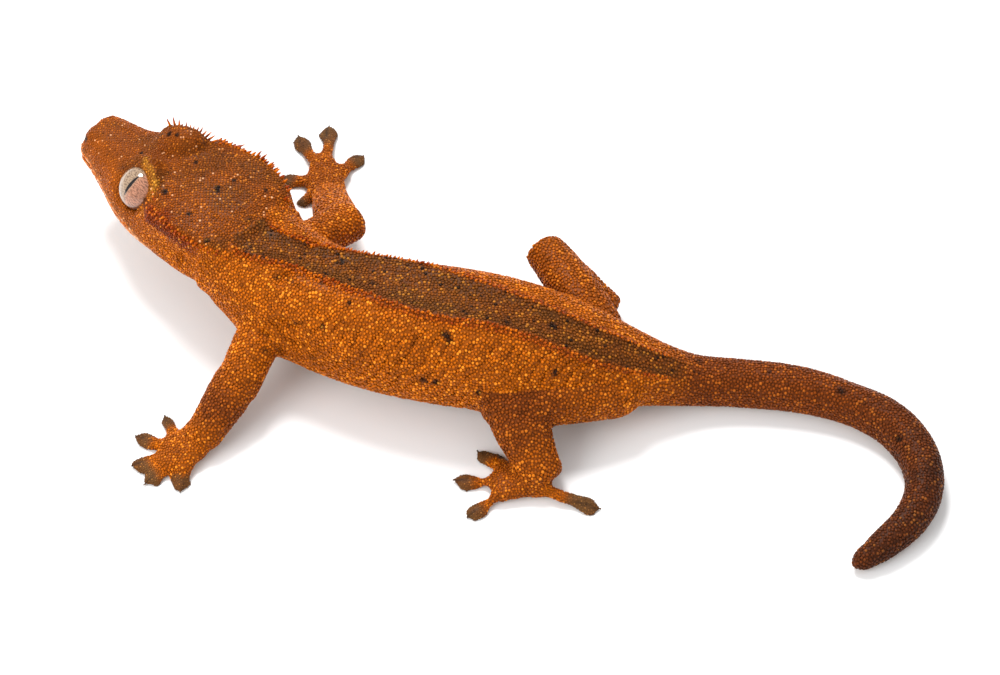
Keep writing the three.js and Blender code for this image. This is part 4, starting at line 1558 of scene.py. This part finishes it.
class SetClaws(bpy.types.Operator):
    """Sets a small hooked claw at the tip of each toe"""

    bl_idname = "gecko.set_claws"
    bl_label = "Set claws"

    def execute(self, context):
        settings = context.scene.gecko_claws
        surface = Surface()
        places = []
        for name in TOES.values():
            start, length, ahead = toe_frame(name)
            tip = spread_toe(np.array([start + ahead * length]), name)[0]
            root, _ = surface.nearest(tip - ahead * 0.7 + [0, 0, 0.5])
            places.append(stand(root, ahead + [0, 0, -0.4], (0, 0, -1), settings.width, settings.length))
        piece = stamp("claws", model_spine(bend=0.8), places, claw_material(settings))
        return {"FINISHED"}


# Stage

class StageSettings(bpy.types.PropertyGroup):
    elevation: measure("Elevation", "Camera's height over level, degrees", CAMERA_RISE)
    distance: measure("Distance", "Camera's distance, mm", CAMERA_DISTANCE)
    lens: measure("Lens", "Focal length, mm", CAMERA_LENS)
    daylight: measure("Daylight", "Strength of the light all round", 0.8)


# How far the floor lies under the lowest solid, so that the two don't share a face.
FLOOR_DROP = 0.00002


def add_lamp(name, where, size, power, mirrored=True):
    lamp = bpy.data.lights.new(name, "AREA")
    lamp.shape = "DISK"
    lamp.size = size
    lamp.energy = power
    holder = add_object(name, lamp)
    holder.location = where
    holder.rotation_euler = (-Vector(where)).to_track_quat("-Z", "Y").to_euler()
    holder.visible_glossy = mirrored


class SetStage(bpy.types.Operator):
    """Sets the camera, the pale floor and the soft studio light"""

    bl_idname = "gecko.set_stage"
    bl_label = "Set stage"

    def execute(self, context):
        settings = context.scene.gecko_stage
        camera = add_object("camera", bpy.data.cameras.new("camera"))
        camera.data.lens = settings.lens
        camera.data.sensor_width = SENSOR_WIDTH
        camera.data.clip_start = 0.01
        tilt = math.radians(settings.elevation)
        middle = place([(0, 0, 0)])[0]
        back = np.array([0, -math.cos(tilt), math.sin(tilt)]) * settings.distance * MM
        camera.location = middle + back
        camera.rotation_euler = (math.pi / 2 - tilt, 0, 0)
        context.scene.camera = camera

        floor = add_form("plane", "floor", size=6, location=(0, 0, -FLOOR_DROP))
        graph = Finish("studio_paper", roughness=0.9)
        paper = graph.mix(graph.noise(0.02) * 0.3, (0.93, 0.93, 0.93, 1), (0.95, 0.95, 0.955, 1))
        floor.data.materials.append(graph.coloured(paper))

        world = bpy.data.worlds.new("studio")
        world.use_nodes = True
        sky = world.node_tree.nodes["Background"].inputs
        sky["Color"].default_value = (1, 1, 1, 1)
        sky["Strength"].default_value = settings.daylight
        context.scene.world = world
        add_lamp("key", (-0.12, 0.32, 0.6), 0.24, 4.2)
        add_lamp("fill", (-0.4, -0.3, 0.32), 0.4, 2.0, mirrored=False)
        context.scene.view_settings.view_transform = "Standard"
        return {"FINISHED"}


SETTINGS = {
    "skin": SkinSettings, "markings": MarkingSettings, "eyes": EyeSettings, "scales": ScaleSettings,
    "crest": CrestSettings, "mouth": MouthSettings, "claws": ClawSettings, "stage": StageSettings,
}
STEPS = [SetStage, SculptSkin, MarkSkin, MakeEyes, GrowScales, RaiseCrest, LineLips, SetClaws]


class GeckoPanel(bpy.types.Panel):
    """Lists the steps that build the model, and their settings"""

    bl_idname = "VIEW3D_PT_gecko"
    bl_label = "Crested gecko"
    bl_space_type = "VIEW_3D"
    bl_region_type = "UI"
    bl_category = "Gecko"

    def draw(self, context):
        for step in STEPS:
            self.layout.operator(step.bl_idname)
        for name, group in SETTINGS.items():
            box = self.layout.box()
            for setting in group.__annotations__:
                box.prop(getattr(context.scene, f"gecko_{name}"), setting)


def register():
    for group in (*SETTINGS.values(), *STEPS, GeckoPanel):
        bpy.utils.register_class(group)
    for name, group in SETTINGS.items():
        setattr(bpy.types.Scene, f"gecko_{name}", PointerProperty(type=group))


def unregister():
    for name in SETTINGS:
        delattr(bpy.types.Scene, f"gecko_{name}")
    for group in (GeckoPanel, *reversed(STEPS), *SETTINGS.values()):
        bpy.utils.unregister_class(group)


def main():
    register()
    for step in STEPS:
        family, name = step.bl_idname.split(".")
        getattr(getattr(bpy.ops, family), name)()


if __name__ == "__main__":
    main()
